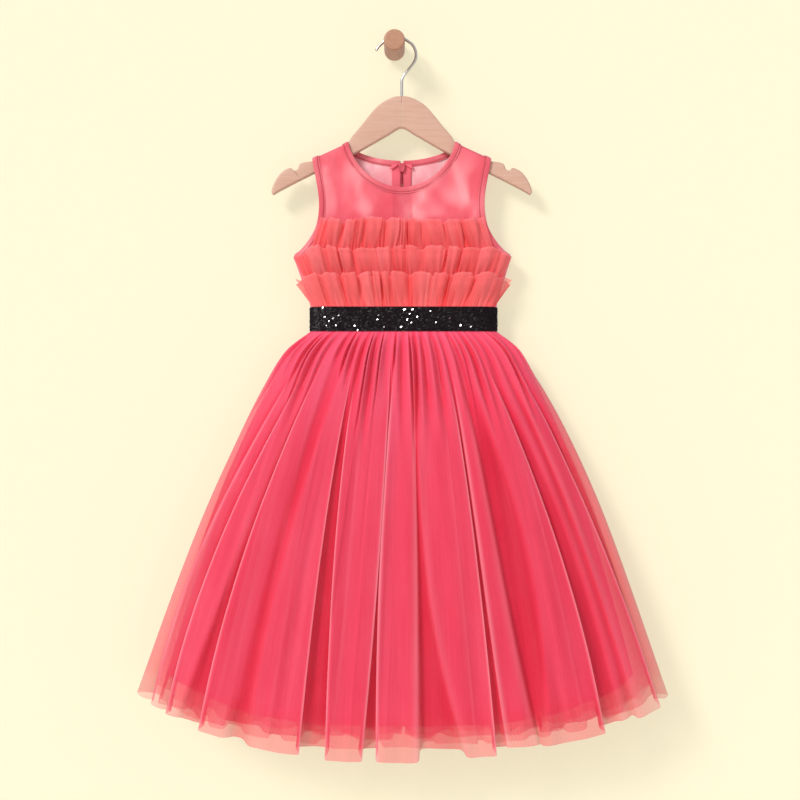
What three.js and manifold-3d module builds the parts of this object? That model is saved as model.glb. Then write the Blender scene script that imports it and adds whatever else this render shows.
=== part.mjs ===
// A toddler's sleeveless party dress on a child's wooden hanger, hung from a round wall peg.
// Millimetres, +Z up. The wall is the plane y = 0 and the origin is the centre of the peg's wall face.
// The dress hangs in front of the wall, so its front faces -Y.
import * as THREE from 'three';
import { mergeVertices } from 'three/addons/utils/BufferGeometryUtils.js';
import Module from 'manifold-3d';

const wasm = await Module();
wasm.setup();

// Driving dimensions of the peg, hook and hanger
const pegDiameter = 25;
const pegLength = 60;
const wireDiameter = 3.4;
const hangPlane = -22;          // y of the hook, the hanger and the side seams
const hangerThickness = 12;
const hangerEase = 2;           // eased edges of the wood, from front to back
const hangerEaseIn = 1.2;       // and across the edge
const hangerCentre = 8.8;       // x of the hanger's middle
const hangerTop = -60.5;
const seatGap = 0.3;

// Driving dimensions of the cloth
const clothWall = 1.2;
const ruffleWall = 1.0;
const seamGap = 0.3;
const neckHalfWidth = 65;
const neckSideTop = -114.5;
const frontNeckBottom = -171.5;
const backNeckBottom = -137.5;
const shoulderHalfWidth = 108;
const shoulderEnd = -135.2;
const neckRoundness = 0.66;
const yokeSeam = -217;
const underarm = -254;
const beltTop = -316;
const waistSeam = -345;
const hemCentre = -840;
const hemLift = 62;             // how much higher the hem is at the sides
const closureGap = 1.8;         // between the two back panels, where the zip's slider passes
const bindingWidth = 7.5;
const underarmLift = 0.5;       // more room under the armhole bindings where the cloth turns
const shoulderLift = 0.9;       // more room under the bindings where they round the shoulder

// Half widths and half depths of the bodice, from the shoulders down to the waist seam
const bodiceSections = [
  { z: -100, halfWidth: 110, depth: 8.2, centre: 8.8 },
  { z: -137, halfWidth: 107.6, depth: 8.2, centre: 8.8 },
  { z: -160, halfWidth: 103.2, depth: 8.2, centre: 8.8 },
  { z: -182, halfWidth: 99.8, depth: 8.2, centre: 8.8 },
  { z: -199, halfWidth: 99.6, depth: 8.4, centre: 8.9 },
  { z: -216, halfWidth: 102.4, depth: 8.8, centre: 9.0 },
  { z: -228, halfWidth: 107.5, depth: 9.3, centre: 9.1 },
  { z: -238, halfWidth: 114.5, depth: 9.8, centre: 9.2 },
  { z: -246.5, halfWidth: 122.5, depth: 10.2, centre: 9.4 },
  { z: -254, halfWidth: 131.5, depth: 10.6, centre: 9.6 },
  { z: -262, halfWidth: 129.5, depth: 10.9, centre: 9.8 },
  { z: -280, halfWidth: 123.5, depth: 11.2, centre: 10.2 },
  { z: -300, halfWidth: 117, depth: 11.2, centre: 10.6 },
  { z: -316, halfWidth: 112.6, depth: 11, centre: 11 },
  { z: -350, halfWidth: 112.6, depth: 11, centre: 11 },
];

// The skirt's sections by the share of the way from the waist seam to the hem
const skirtSections = [
  { share: 0, halfWidth: 112.6, front: 11, back: 11, centreY: -22, squareness: 12 },
  { share: 0.033, halfWidth: 130, front: 17, back: 12.5, centreY: -23.5, squareness: 9 },
  { share: 0.062, halfWidth: 142, front: 20.5, back: 13.5, centreY: -25, squareness: 7 },
  { share: 0.12, halfWidth: 158, front: 24, back: 15.5, centreY: -27.5, squareness: 5 },
  { share: 0.26, halfWidth: 191, front: 30, back: 20, centreY: -34, squareness: 3.6 },
  { share: 0.47, halfWidth: 232, front: 37, back: 29, centreY: -45, squareness: 3 },
  { share: 0.71, halfWidth: 271, front: 44, back: 39, centreY: -55, squareness: 2.7 },
  { share: 1, halfWidth: 313, front: 50, back: 49, centreY: -66, squareness: 2.5 },
];

// Three layers of skirt, the outermost first
const skirtLayers = [
  {
    name: 'tulle_outer', folds: 44, inset: -2.3, insetHem: 0, ripple: 0.15, rippleHem: 7,
    colour: 0xf06a72, shares: [0, 0.035, 0.1, 0.26, 0.6, 1],
  },
  {
    name: 'tulle_inner', folds: 28, inset: -0.5, insetHem: 17, ripple: 0.05, rippleHem: 4,
    colour: 0xea5068, shares: [0, 0.1, 0.26, 0.6, 0.985],
  },
  {
    name: 'underskirt', folds: 14, inset: 1.4, insetHem: 30, ripple: 0.02, rippleHem: 4,
    colour: 0xf45a72, shares: [0, 0.1, 0.26, 0.6, 0.955],
  },
];
const samplesPerFold = 4;
const foldDrift = 0.006;        // share of the way round by which folds wander

// Folds that lie forward on the front of the outer layer: place, width and rise at the hem
const lyingFolds = [
  { x: -196, width: 40, rise: 5 },
  { x: -118, width: 34, rise: 6 },
  { x: -57, width: 34, rise: 10 },
  { x: 5, width: 44, rise: 12 },
  { x: 98, width: 30, rise: 10 },
  { x: 172, width: 36, rise: 6 },
  { x: 232, width: 36, rise: 5 },
];

// Ruffle tiers on the front, the top one first
const ruffleTiers = [
  { name: 'ruffle_tier_1', seam: -249, height: 39, seamHalf: 104, topHalf: 98, waves: 12, lean: 12 },
  { name: 'ruffle_tier_2', seam: -283, height: 39, seamHalf: 118, topHalf: 126, waves: 13, lean: 12 },
  { name: 'ruffle_tier_3', seam: -315.4, height: 39.5, seamHalf: 110, topHalf: 127, waves: 13, lean: 13 },
];
const ruffleLift = 0.5;         // of a tier's seam off the satin
const ruffleRipple = 4.6;

// The zip, closed up to its slider, on the inside of the back opening
const zipTop = -139.5;
const zipBottom = -339;
const tapeWidth = 11;
const tapeWall = 1;
const coilWidth = 3;
const coilWall = 1.4;
const sliderWidth = 8;
const sliderHeight = 11;
const sliderWall = 2.6;
const sliderTop = -140.5;
const pinHeight = -147.5;
const pinStandOff = 2.5;        // from the back cloth's outer face to the pin's axis
const pinRadius = 0.6;
const pinClearance = 0.3;
const lugWidth = 1;
const tabLength = 18;
const tabWall = 1.2;

// Material colours
const colours = {
  wood: 0xe3c1b0,
  peg: 0xcc9c84,
  steel: 0x9d9a98,
  satin: 0xf26a78,
  binding: 0xdf5f6b,
  ruffle: 0xf15d63,
  belt: 0x231a1d,
  zip: 0xe2596a,
};

const dress = new THREE.Group();

function addPiece(name, geometry, colour, roughness, metalness = 0) {
  const material = new THREE.MeshStandardMaterial({ color: colour, roughness, metalness });
  const mesh = new THREE.Mesh(geometry, material);
  mesh.name = name;
  dress.add(mesh);
  return mesh;
}

// The value of one column of a table at a place in another, on a smooth curve through its rows
function tableValue(table, key, column, at) {
  const rising = table[table.length - 1][key] > table[0][key];
  const rows = rising ? table : [...table].reverse();
  const last = rows.length - 1;
  const place = Math.min(Math.max(at, rows[0][key]), rows[last][key]);
  let i = 0;
  while (i < last - 1 && place > rows[i + 1][key]) i += 1;
  const slope = (a, b) => (rows[b][column] - rows[a][column]) / (rows[b][key] - rows[a][key]);
  const tangent = (k) => slope(Math.max(k - 1, 0), Math.min(k + 1, last));
  const span = rows[i + 1][key] - rows[i][key];
  const t = (place - rows[i][key]) / span;
  const t2 = t * t;
  const t3 = t2 * t;
  return (2 * t3 - 3 * t2 + 1) * rows[i][column]
    + (t3 - 2 * t2 + t) * span * tangent(i)
    + (3 * t2 - 2 * t3) * rows[i + 1][column]
    + (t3 - t2) * span * tangent(i + 1);
}

function smoothStep(low, high, at) {
  const t = Math.min(Math.max((at - low) / (high - low), 0), 1);
  return t * t * (3 - 2 * t);
}

// A closed solid between two grids of points that have the same rows and columns
function solidBetween(outer, inner) {
  const rows = outer.length;
  const cols = outer[0].length;
  const positions = [];
  for (const grid of [outer, inner]) {
    for (const line of grid) {
      for (const point of line) positions.push(point.x, point.y, point.z);
    }
  }
  const size = rows * cols;
  const index = [];
  const quad = (a, b, c, d) => index.push(a, b, c, a, c, d);
  const at = (r, c) => r * cols + c;
  for (let r = 0; r < rows - 1; r += 1) {
    for (let c = 0; c < cols - 1; c += 1) {
      quad(at(r, c), at(r, c + 1), at(r + 1, c + 1), at(r + 1, c));
      quad(size + at(r, c), size + at(r + 1, c), size + at(r + 1, c + 1), size + at(r, c + 1));
    }
  }
  for (let c = 0; c < cols - 1; c += 1) {
    const top = rows - 1;
    quad(at(0, c + 1), at(0, c), size + at(0, c), size + at(0, c + 1));
    quad(at(top, c), at(top, c + 1), size + at(top, c + 1), size + at(top, c));
  }
  for (let r = 0; r < rows - 1; r += 1) {
    const end = cols - 1;
    quad(at(r, 0), at(r + 1, 0), size + at(r + 1, 0), size + at(r, 0));
    quad(at(r + 1, end), at(r, end), size + at(r, end), size + at(r + 1, end));
  }
  const geometry = new THREE.BufferGeometry();
  geometry.setAttribute('position', new THREE.Float32BufferAttribute(positions, 3));
  geometry.setIndex(index);
  return geometry;
}

// A wall whose inner points lie in from the outer ones along the grid's own normals
function wallFromGrid(outer, wall) {
  const rows = outer.length;
  const cols = outer[0].length;
  const inner = outer.map((line, r) => line.map((point, c) => {
    const along = line[Math.min(c + 1, cols - 1)].clone().sub(line[Math.max(c - 1, 0)]);
    const up = outer[Math.min(r + 1, rows - 1)][c].clone().sub(outer[Math.max(r - 1, 0)][c]);
    return point.clone().addScaledVector(along.cross(up).normalize(), -wall);
  }));
  return solidBetween(outer, inner);
}

function makeGrid(rows, cols, pointAt) {
  return rows.map((row) => cols.map((col) => pointAt(col, row)));
}

function evenly(from, to, steps) {
  return Array.from({ length: steps + 1 }, (_, i) => from + ((to - from) * i) / steps);
}

// How far the bodice stands from the hanging plane at a point of its front view. The edge stays apart
// above the underarm, where the armhole is, and the top rounds over the hanger's arm.
function bodiceDepth(x, z, out = 0) {
  const halfWidth = tableValue(bodiceSections, 'z', 'halfWidth', z) + out;
  const middle = tableValue(bodiceSections, 'z', 'depth', z) + out;
  const centre = tableValue(bodiceSections, 'z', 'centre', z);
  const edge = middle * smoothStep(underarm, underarm + 30, z);
  const side = Math.min(Math.abs(x - centre) / halfWidth, 1);
  const crown = edge + (middle - edge) * Math.sqrt(1 - side ** 12);
  const below = Math.max(shoulderLine(x - centre) + out - z, 0);
  const shoulderRadius = 5;
  const turn = 1 - Math.min(below / shoulderRadius, 1);
  return Math.max(crown * Math.sqrt(1 - turn * turn), 0);
}

// Height of the cloth's top line over the hanger's arm
function shoulderLine(across) {
  const slope = (shoulderEnd - neckSideTop) / (shoulderHalfWidth - neckHalfWidth);
  return neckSideTop + slope * (Math.abs(across) - neckHalfWidth);
}

// A point of the cloth: side is -1 on the front and 1 on the back
function bodicePoint(x, z, side, out = 0) {
  const stand = Math.max(bodiceDepth(x, z, out), seamGap / 2);
  return new THREE.Vector3(x, hangPlane + side * stand, z);
}

// The yoke's top edge in the front view: the neckline, then the shoulder. The place runs from -1 to 1.
const neckShare = 0.62;
function yokeTop(place, neckBottom) {
  const far = Math.abs(place);
  const sign = Math.sign(place);
  if (far <= neckShare) {
    const across = Math.sin((Math.PI / 2) * (far / neckShare));
    const drop = (neckSideTop - neckBottom) * (1 - across * across) ** neckRoundness;
    return { across: sign * neckHalfWidth * across, z: neckSideTop - drop };
  }
  const along = (far - neckShare) / (1 - neckShare);
  const across = neckHalfWidth + (shoulderHalfWidth - neckHalfWidth) * along;
  return { across: sign * across, z: shoulderLine(across) };
}

// One yoke panel: straight columns from its bottom seam to the top edge, bent to the armhole at the side
function yokeGrid(places, rows, neckBottom, side, out) {
  const bottom = yokeSeam + seamGap / 2;
  const centre = tableValue(bodiceSections, 'z', 'centre', bottom);
  const bottomHalf = tableValue(bodiceSections, 'z', 'halfWidth', bottom);
  return makeGrid(rows, places, (place, share) => {
    const top = yokeTop(place, neckBottom);
    const onShoulder = Math.abs(place) >= neckShare;
    const topZ = top.z + (onShoulder ? out : 0);
    const z = bottom + (topZ - bottom) * share;
    const straight = place * bottomHalf * (1 - share) + top.across * share;
    const edge = tableValue(bodiceSections, 'z', 'halfWidth', z);
    const edgeStraight = bottomHalf * (1 - share) + shoulderHalfWidth * share;
    const bend = Math.sign(place) * Math.abs(place) ** 6 * (edge - edgeStraight);
    return bodicePoint(centre + straight + bend, z, side, out);
  });
}

function addYoke(name, places, neckBottom, side) {
  const rows = [0, 0.3, 0.6, 0.82, 0.94, 0.97, 0.99, 1];
  const outer = yokeGrid(places, rows, neckBottom, side, 0);
  const inner = yokeGrid(places, rows, neckBottom, side, -clothWall);
  addPiece(name, solidBetween(outer, inner), colours.satin, 0.45);
}

// A bodice panel between two places across, from the waist seam up to the yoke
function bodiceGrid(places, heights, side, out) {
  return makeGrid(heights, places, (place, z) => {
    const half = tableValue(bodiceSections, 'z', 'halfWidth', z) + out;
    const centre = tableValue(bodiceSections, 'z', 'centre', z);
    const across = Math.sin((Math.PI / 2) * place);
    return bodicePoint(centre + half * across, z, side, out);
  });
}

function addBodice(name, places, side) {
  const heights = [
    waistSeam + seamGap, -316, -285, -262, underarm, -248, -242, -235, -227, yokeSeam - seamGap / 2,
  ];
  const outer = bodiceGrid(places, heights, side, 0);
  const inner = bodiceGrid(places, heights, side, -clothWall);
  addPiece(name, solidBetween(outer, inner), colours.satin, 0.4);
}

// Places across a panel, with the closure's half gap left free at the centre back
const closurePlace = (closureGap / 2) / shoulderHalfWidth;
const bodiceClosurePlace = (2 / Math.PI) * Math.asin(closureGap / 2 / 112);

const yokeFrontPlaces = [
  -1, -0.87, -0.74, -neckShare, -0.6, -0.575, -0.53, -0.44, -0.32, -0.16, 0,
  0.16, 0.32, 0.44, 0.53, 0.575, 0.6, neckShare, 0.74, 0.87, 1,
];
const yokeRightPlaces = [closurePlace, ...yokeFrontPlaces.filter((place) => place > 0)];
const yokeLeftPlaces = yokeRightPlaces.map((place) => -place).reverse();

// Columns run so that the way along crossed with the way up points out of the cloth
addYoke('yoke_front', yokeFrontPlaces, frontNeckBottom, -1);
addYoke('yoke_back_left', [...yokeLeftPlaces].reverse(), backNeckBottom, 1);
addYoke('yoke_back_right', [...yokeRightPlaces].reverse(), backNeckBottom, 1);

const bodicePlaces = evenly(-1, 1, 20);
const backPlaces = [bodiceClosurePlace, ...bodicePlaces.filter((place) => place > 0.05)];
addBodice('bodice_front', bodicePlaces, -1);
addBodice('bodice_back_left', backPlaces.map((place) => -place), 1);
addBodice('bodice_back_right', [...backPlaces].reverse(), 1);

// Neck binding: one strip that starts at the centre back, crosses the left shoulder, follows the front
// neckline and returns over the right shoulder. Its width is measured square to the neckline.
function neckEdge(place, neckBottom) {
  const step = 0.002;
  const here = yokeTop(place * neckShare, neckBottom);
  const before = yokeTop(Math.max(place - step, -1) * neckShare, neckBottom);
  const after = yokeTop(Math.min(place + step, 1) * neckShare, neckBottom);
  const alongX = after.across - before.across;
  const alongZ = after.z - before.z;
  const length = Math.hypot(alongX, alongZ);
  return { x: here.across, z: here.z, outX: alongZ / length, outZ: -alongX / length };
}

function neckBindingPoint(edge, side, reach, out) {
  const blend = smoothStep(0.75, 1, Math.abs(edge.x) / neckHalfWidth);
  const slope = (shoulderEnd - neckSideTop) / (shoulderHalfWidth - neckHalfWidth);
  const along = Math.sign(edge.x) / Math.hypot(1, slope);
  const wayX = edge.outX * (1 - blend) + along * blend;
  const wayZ = edge.outZ * (1 - blend) + Math.abs(along) * slope * blend;
  const centre = tableValue(bodiceSections, 'z', 'centre', edge.z);
  const x = centre + edge.x + wayX * reach;
  const z = edge.z + wayZ * reach;
  const stand = out + shoulderLift * blend;
  return bodicePoint(x, z + stand * blend, side, stand);
}

const bindingLift = 0.35;
function neckBindingGrid(out) {
  const backHalf = evenly(0, 0.97, 9).map((place) => Math.max(place, 0.022));
  const frontPlaces = evenly(-0.97, 0.97, 26);
  const columns = [
    ...backHalf.map((place) => ({ place: -place, side: 1 })),
    { place: -1, side: 1 },
    ...frontPlaces.map((place) => ({ place, side: -1 })),
    { place: 1, side: 1 },
    ...[...backHalf].reverse().map((place) => ({ place, side: 1 })),
  ];
  return makeGrid([bindingWidth, 0], columns, ({ place, side }, reach) => {
    const edge = neckEdge(place, side < 0 ? frontNeckBottom : backNeckBottom);
    return neckBindingPoint(edge, side, reach, out);
  });
}
addPiece(
  'neck_binding',
  solidBetween(neckBindingGrid(bindingLift + 1), neckBindingGrid(bindingLift)),
  colours.binding,
  0.45,
);

// Armhole bindings: a strip on the edge from the front underarm over the shoulder to the back underarm
function armholeGrid(sign, out) {
  const heights = [...evenly(underarm + 1.5, shoulderEnd - 5, 11), shoulderEnd - 1.6];
  const columns = [
    ...heights.map((z) => ({ z, side: -1 })),
    { z: shoulderEnd, side: 0 },
    ...[...heights].reverse().map((z) => ({ z, side: 1 })),
  ];
  const ordered = sign > 0 ? [...columns].reverse() : columns;
  return makeGrid([0, 0.5, 0.84, 1], ordered, ({ z, side }, share) => {
    const centre = tableValue(bodiceSections, 'z', 'centre', z);
    const half = tableValue(bodiceSections, 'z', 'halfWidth', z);
    const step = 1;
    const slope = (tableValue(bodiceSections, 'z', 'halfWidth', z + step) - half) / step;
    const length = Math.hypot(1, slope);
    const reach = bindingWidth * (1 - share);
    const rise = smoothStep(shoulderEnd - 12, shoulderEnd - 3, z);
    const low = 1 - smoothStep(underarm + 12, underarm + 40, z);
    const stand = out + shoulderLift * rise + underarmLift * low;
    if (side === 0) {
      const across = half - reach;
      return new THREE.Vector3(centre + sign * across, hangPlane, shoulderLine(across) + stand);
    }
    const across = half - reach / length;
    const level = z + rise * (stand + shoulderLine(across) - shoulderEnd);
    return bodicePoint(centre + sign * across, level + (reach * slope) / length, side, stand);
  });
}
for (const [name, sign] of [['armhole_binding_left', -1], ['armhole_binding_right', 1]]) {
  const outer = armholeGrid(sign, bindingLift + 1);
  const inner = armholeGrid(sign, bindingLift);
  addPiece(name, solidBetween(outer, inner), colours.binding, 0.45);
}

// Ruffle tiers: strips that stand up from their seams, lean forward and ripple more towards the top
function ruffleGrid(tier) {
  const cols = evenly(-1, 1, tier.waves * samplesPerFold);
  return makeGrid([0, 0.5, 1], cols, (place, share) => {
    const seamZ = tier.seam;
    const wander = 0.35 * Math.sin(5 * place + tier.waves) + 0.25 * Math.sin(11 * place + tier.seam);
    const wave = Math.sin(Math.PI * tier.waves * (place + 1) + wander);
    const scallop = 1 - 0.06 * (1 - wave) * share;
    const z = seamZ + tier.height * share * scallop;
    const half = tier.seamHalf + (tier.topHalf - tier.seamHalf) * share;
    const centre = tableValue(bodiceSections, 'z', 'centre', seamZ);
    const x = centre + half * place;
    const lean = ruffleLift + ruffleWall + tier.lean * share ** 1.3;
    const ripple = (0.3 + ruffleRipple * share) * wave + 0.3;
    return new THREE.Vector3(x, hangPlane - bodiceDepth(x, z) - lean - ripple, z);
  });
}
for (const tier of ruffleTiers) {
  addPiece(tier.name, wallFromGrid(ruffleGrid(tier), ruffleWall), colours.ruffle, 0.75);
}

// The sequinned belt lies over the waist and is open at the centre back
function beltGrid(out) {
  const half = 112.6 + out;
  const depth = 11 + out;
  const centre = 11;
  const front = evenly(-1, 1, 20).map((place) => ({ place, side: -1 }));
  const left = backPlaces.slice(0, -1).map((place) => ({ place: -place, side: 1 }));
  const right = [...backPlaces].slice(0, -1).reverse().map((place) => ({ place, side: 1 }));
  return makeGrid([waistSeam + seamGap, beltTop], [...left, ...front, ...right], ({ place, side }, z) => {
    const across = Math.sin((Math.PI / 2) * place);
    const stand = depth * Math.sqrt(Math.max(1 - Math.abs(across) ** 12, 0));
    return new THREE.Vector3(centre + half * across, hangPlane + side * stand, z);
  });
}
addPiece('belt', solidBetween(beltGrid(2.1), beltGrid(0.7)), colours.belt, 0.35);

// One ring of the skirt: points evenly spaced along a flattened round section, from the centre back
function skirtRing(share, inset, count) {
  const value = (column) => tableValue(skirtSections, 'share', column, share);
  const half = value('halfWidth') - inset;
  const front = value('front') - inset;
  const back = value('back') - inset;
  const centreY = value('centreY');
  const squareness = value('squareness');
  const dense = 720;
  const points = evenly(0, 1, dense).map((turn) => {
    const angle = Math.PI / 2 + 2 * Math.PI * turn;
    const across = Math.cos(angle);
    const stand = Math.sqrt(Math.max(1 - Math.abs(across) ** squareness, 0));
    const y = centreY + Math.sign(Math.sin(angle)) * stand * (Math.sin(angle) > 0 ? back : front);
    return new THREE.Vector2(11 + half * across, y);
  });
  const lengths = [0];
  for (let i = 1; i <= dense; i += 1) lengths.push(lengths[i - 1] + points[i].distanceTo(points[i - 1]));
  const total = lengths[dense];
  const endGap = 0.4;
  let i = 0;
  return evenly(endGap, total - endGap, count).map((target) => {
    while (i < dense - 1 && lengths[i + 1] < target) i += 1;
    const t = (target - lengths[i]) / (lengths[i + 1] - lengths[i]);
    const place = points[i].clone().lerp(points[i + 1], t);
    const way = points[i + 1].clone().sub(points[i]).normalize();
    return { place, normal: new THREE.Vector2(way.y, -way.x), across: (place.x - 11) / half };
  });
}

function skirtLayerGrid(layer) {
  const count = layer.folds * samplesPerFold;
  return layer.shares.map((share) => {
    const inset = layer.inset + (layer.insetHem - layer.inset) * share;
    const ripple = layer.ripple + (layer.rippleHem - layer.ripple) * share;
    return skirtRing(share, inset, count).map(({ place, normal, across }, i) => {
      const turn = i / count;
      const drift = foldDrift * (Math.sin(10 * Math.PI * turn + 0.7) + Math.sin(22 * Math.PI * turn + 2));
      const strength = 0.78 + 0.22 * Math.sin(14 * Math.PI * turn + 1);
      let out = ripple * strength * Math.sin(2 * Math.PI * layer.folds * (turn + drift));
      const onFront = place.y < tableValue(skirtSections, 'share', 'centreY', share);
      if (layer.name === 'tulle_outer' && onFront) {
        for (const fold of lyingFolds) {
          const reach = 0.36 + 0.64 * share;
          const off = (place.x - 11 - fold.x * reach) / (0.5 * fold.width * reach);
          out += fold.rise * share * Math.exp(-off * off);
        }
      }
      const lift = hemLift * Math.abs(across) ** 3.2;
      const z = waistSeam + (hemCentre + lift - waistSeam) * share;
      return new THREE.Vector3(place.x + normal.x * out, place.y + normal.y * out, z);
    });
  }).reverse();
}
for (const layer of skirtLayers) {
  addPiece(layer.name, wallFromGrid(skirtLayerGrid(layer), clothWall), layer.colour, 0.7);
}

// Zip strips on the inside of the back: rows follow the back panel's inner face
const zipCentre = (z) => tableValue(bodiceSections, 'z', 'centre', z);
function zipStrip(from, to, low, high, near, thickness) {
  const heights = evenly(low, high, 5);
  const stripGrid = (depth) => makeGrid(heights, [to, from], (across, z) => {
    const stand = tableValue(bodiceSections, 'z', 'depth', z) - clothWall - depth;
    return new THREE.Vector3(zipCentre(z) + across, hangPlane + stand, z);
  });
  return solidBetween(stripGrid(near), stripGrid(near + thickness));
}
const tapeStart = closureGap / 2 + 0.2;
const coilDepth = seamGap + tapeWall + seamGap;
addPiece(
  'zip_tape_left',
  zipStrip(-tapeStart - tapeWidth, -tapeStart, zipBottom, zipTop, seamGap, tapeWall),
  colours.zip,
  0.8,
);
addPiece(
  'zip_tape_right',
  zipStrip(tapeStart, tapeStart + tapeWidth, zipBottom, zipTop, seamGap, tapeWall),
  colours.zip,
  0.8,
);
addPiece(
  'zip_coil',
  zipStrip(-coilWidth / 2, coilWidth / 2, zipBottom, sliderTop - sliderHeight - seamGap, coilDepth, coilWall),
  colours.zip,
  0.5,
);

// Joining and cutting of closed solids
function toSolid(geometry) {
  const bare = geometry.clone();
  bare.deleteAttribute('normal');
  bare.deleteAttribute('uv');
  const merged = mergeVertices(bare, 1e-4);
  const mesh = new wasm.Mesh({
    numProp: 3,
    vertProperties: new Float32Array(merged.attributes.position.array),
    triVerts: new Uint32Array(merged.index.array),
  });
  return new wasm.Manifold(mesh);
}

function fromSolid(solid) {
  const mesh = solid.getMesh();
  const geometry = new THREE.BufferGeometry();
  geometry.setAttribute('position', new THREE.BufferAttribute(new Float32Array(mesh.vertProperties), 3));
  geometry.setIndex([...mesh.triVerts]);
  return geometry;
}

function boxBetween(low, high) {
  const size = [0, 1, 2].map((i) => high[i] - low[i]);
  const geometry = new THREE.BoxGeometry(...size);
  return geometry.translate(...[0, 1, 2].map((i) => (high[i] + low[i]) / 2));
}

// The slider sits over the coil inside the back; its lug passes between the two back panels
const backDepth = tableValue(bodiceSections, 'z', 'depth', pinHeight);
const pinY = hangPlane + backDepth + pinStandOff;
const sliderNear = hangPlane + backDepth - clothWall - coilDepth;
const midX = zipCentre(pinHeight);
const pinSides = 12;
function barAlongX(radius, halfLength) {
  const bar = new THREE.CylinderGeometry(radius, radius, 2 * halfLength, pinSides);
  return bar.rotateZ(Math.PI / 2).translate(midX, pinY, pinHeight);
}

function makeSlider() {
  const halfWidth = sliderWidth / 2;
  const outline = new THREE.Shape();
  outline.moveTo(-halfWidth * 0.55, -sliderHeight);
  outline.lineTo(halfWidth * 0.55, -sliderHeight);
  outline.lineTo(halfWidth, -sliderHeight * 0.45);
  outline.lineTo(halfWidth, 0);
  outline.lineTo(-halfWidth, 0);
  outline.lineTo(-halfWidth, -sliderHeight * 0.45);
  outline.closePath();
  const body = new THREE.ExtrudeGeometry(outline, { depth: sliderWall, bevelEnabled: false });
  body.rotateX(Math.PI / 2);
  body.translate(midX, sliderNear, sliderTop);
  const lugEnd = pinY + 1.8;
  const lugHalfHeight = 1.9;
  const lug = boxBetween(
    [midX - lugWidth / 2, sliderNear - 0.5, pinHeight - lugHalfHeight],
    [midX + lugWidth / 2, lugEnd, pinHeight + lugHalfHeight],
  );
  const hole = barAlongX(pinRadius + pinClearance, lugWidth);
  return fromSolid(toSolid(body).add(toSolid(lug)).subtract(toSolid(hole)));
}
addPiece('zip_slider', makeSlider(), colours.zip, 0.4, 0.2);

// The pull tab: a drop-shaped plate whose fork and pin hold it on the slider's lug
function makePullTab() {
  const earReach = 1.2;
  const outline = new THREE.Shape();
  const narrow = lugWidth / 2 + pinClearance + 0.9;
  const wide = 3;
  outline.moveTo(-narrow, earReach);
  outline.lineTo(narrow, earReach);
  outline.lineTo(narrow, -4);
  outline.lineTo(wide, -tabLength + wide + 1);
  outline.absarc(0, -tabLength + wide, wide, 0, -Math.PI, true);
  outline.lineTo(-narrow, -4);
  outline.closePath();
  const plate = new THREE.ExtrudeGeometry(outline, { depth: tabWall, bevelEnabled: false, curveSegments: 8 });
  plate.rotateX(Math.PI / 2);
  plate.translate(midX, pinY + tabWall / 2, pinHeight);
  const slotHalf = lugWidth / 2 + pinClearance;
  const slotDepth = 3.2;
  const slot = boxBetween(
    [midX - slotHalf, pinY - tabWall, pinHeight - slotDepth],
    [midX + slotHalf, pinY + tabWall, pinHeight + earReach + 1],
  );
  const pin = barAlongX(pinRadius, narrow - 0.1);
  return fromSolid(toSolid(plate).subtract(toSolid(slot)).add(toSolid(pin)));
}
addPiece('zip_pull_tab', makePullTab(), colours.zip, 0.4, 0.2);

// The wall peg: a turned dowel with an eased front edge
function makePeg() {
  const radius = pegDiameter / 2;
  const ease = 1.6;
  const profile = [[0, 0], [radius - 0.4, 0], [radius, 0.6], [radius, pegLength - ease],
    [radius - 0.5, pegLength - 0.45], [radius - ease, pegLength], [0, pegLength]];
  const points = profile.map(([r, h]) => new THREE.Vector2(r, h));
  const geometry = new THREE.LatheGeometry(points, 28);
  return geometry.rotateX(Math.PI);
}
addPiece('wall_peg', makePeg(), colours.peg, 0.6);

// The hanger: one outline, drawn as half and mirrored, with eased edges and a blind hole for the hook
const hangerUpper = [
  { across: 0, z: -60.5 }, { across: 9, z: -61.6 }, { across: 17.3, z: -65.1 }, { across: 25, z: -69.6 },
  { across: 31.2, z: -74.9 }, { across: 40.4, z: -85.6 }, { across: 47.5, z: -94.6 },
  { across: 55.6, z: -104.2 }, { across: 60.6, z: -110.3 }, { across: 64.6, z: -118.6 },
  { across: 86.8, z: -129 }, { across: 108.6, z: -139.4 }, { across: 113, z: -140 },
  { across: 123.4, z: -143.2 }, { across: 125.6, z: -148.6 }, { across: 128.4, z: -150.4 },
  { across: 131.4, z: -150.2 }, { across: 133.6, z: -147.4 }, { across: 140.7, z: -149.8 },
  { across: 146.9, z: -154.7 }, { across: 153.1, z: -163.9 }, { across: 156.6, z: -172.5 },
  { across: 157.4, z: -177.6 }, { across: 156.6, z: -179.6 },
];
const hangerLower = [
  { across: 106, z: -154 }, { across: 58, z: -131.1 }, { across: 16, z: -107.4 }, { across: 6, z: -101 },
];
const hangerApex = -99.2;

function makeHanger() {
  const half = [...hangerUpper, ...hangerLower];
  const right = half.map(({ across, z }) => new THREE.Vector2(across, z));
  const left = half.slice(1).reverse().map(({ across, z }) => new THREE.Vector2(-across, z));
  const outline = new THREE.Shape([...right, new THREE.Vector2(0, hangerApex), ...left]);
  const body = new THREE.ExtrudeGeometry(outline, {
    depth: hangerThickness - 2 * hangerEase,
    bevelEnabled: true,
    bevelThickness: hangerEase,
    bevelSize: hangerEaseIn,
    bevelOffset: -hangerEaseIn,
    bevelSegments: 1,
  });
  body.rotateX(Math.PI / 2);
  body.translate(hangerCentre, hangPlane + hangerThickness / 2 - hangerEase, 0);
  const hole = new THREE.CylinderGeometry(wireDiameter / 2 + seatGap, wireDiameter / 2 + seatGap, 30, 12);
  hole.rotateX(Math.PI / 2);
  hole.translate(hangerCentre, hangPlane, hangerTop - shankDepth - seatGap + 15);
  return fromSolid(toSolid(body).subtract(toSolid(hole)));
}

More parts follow.
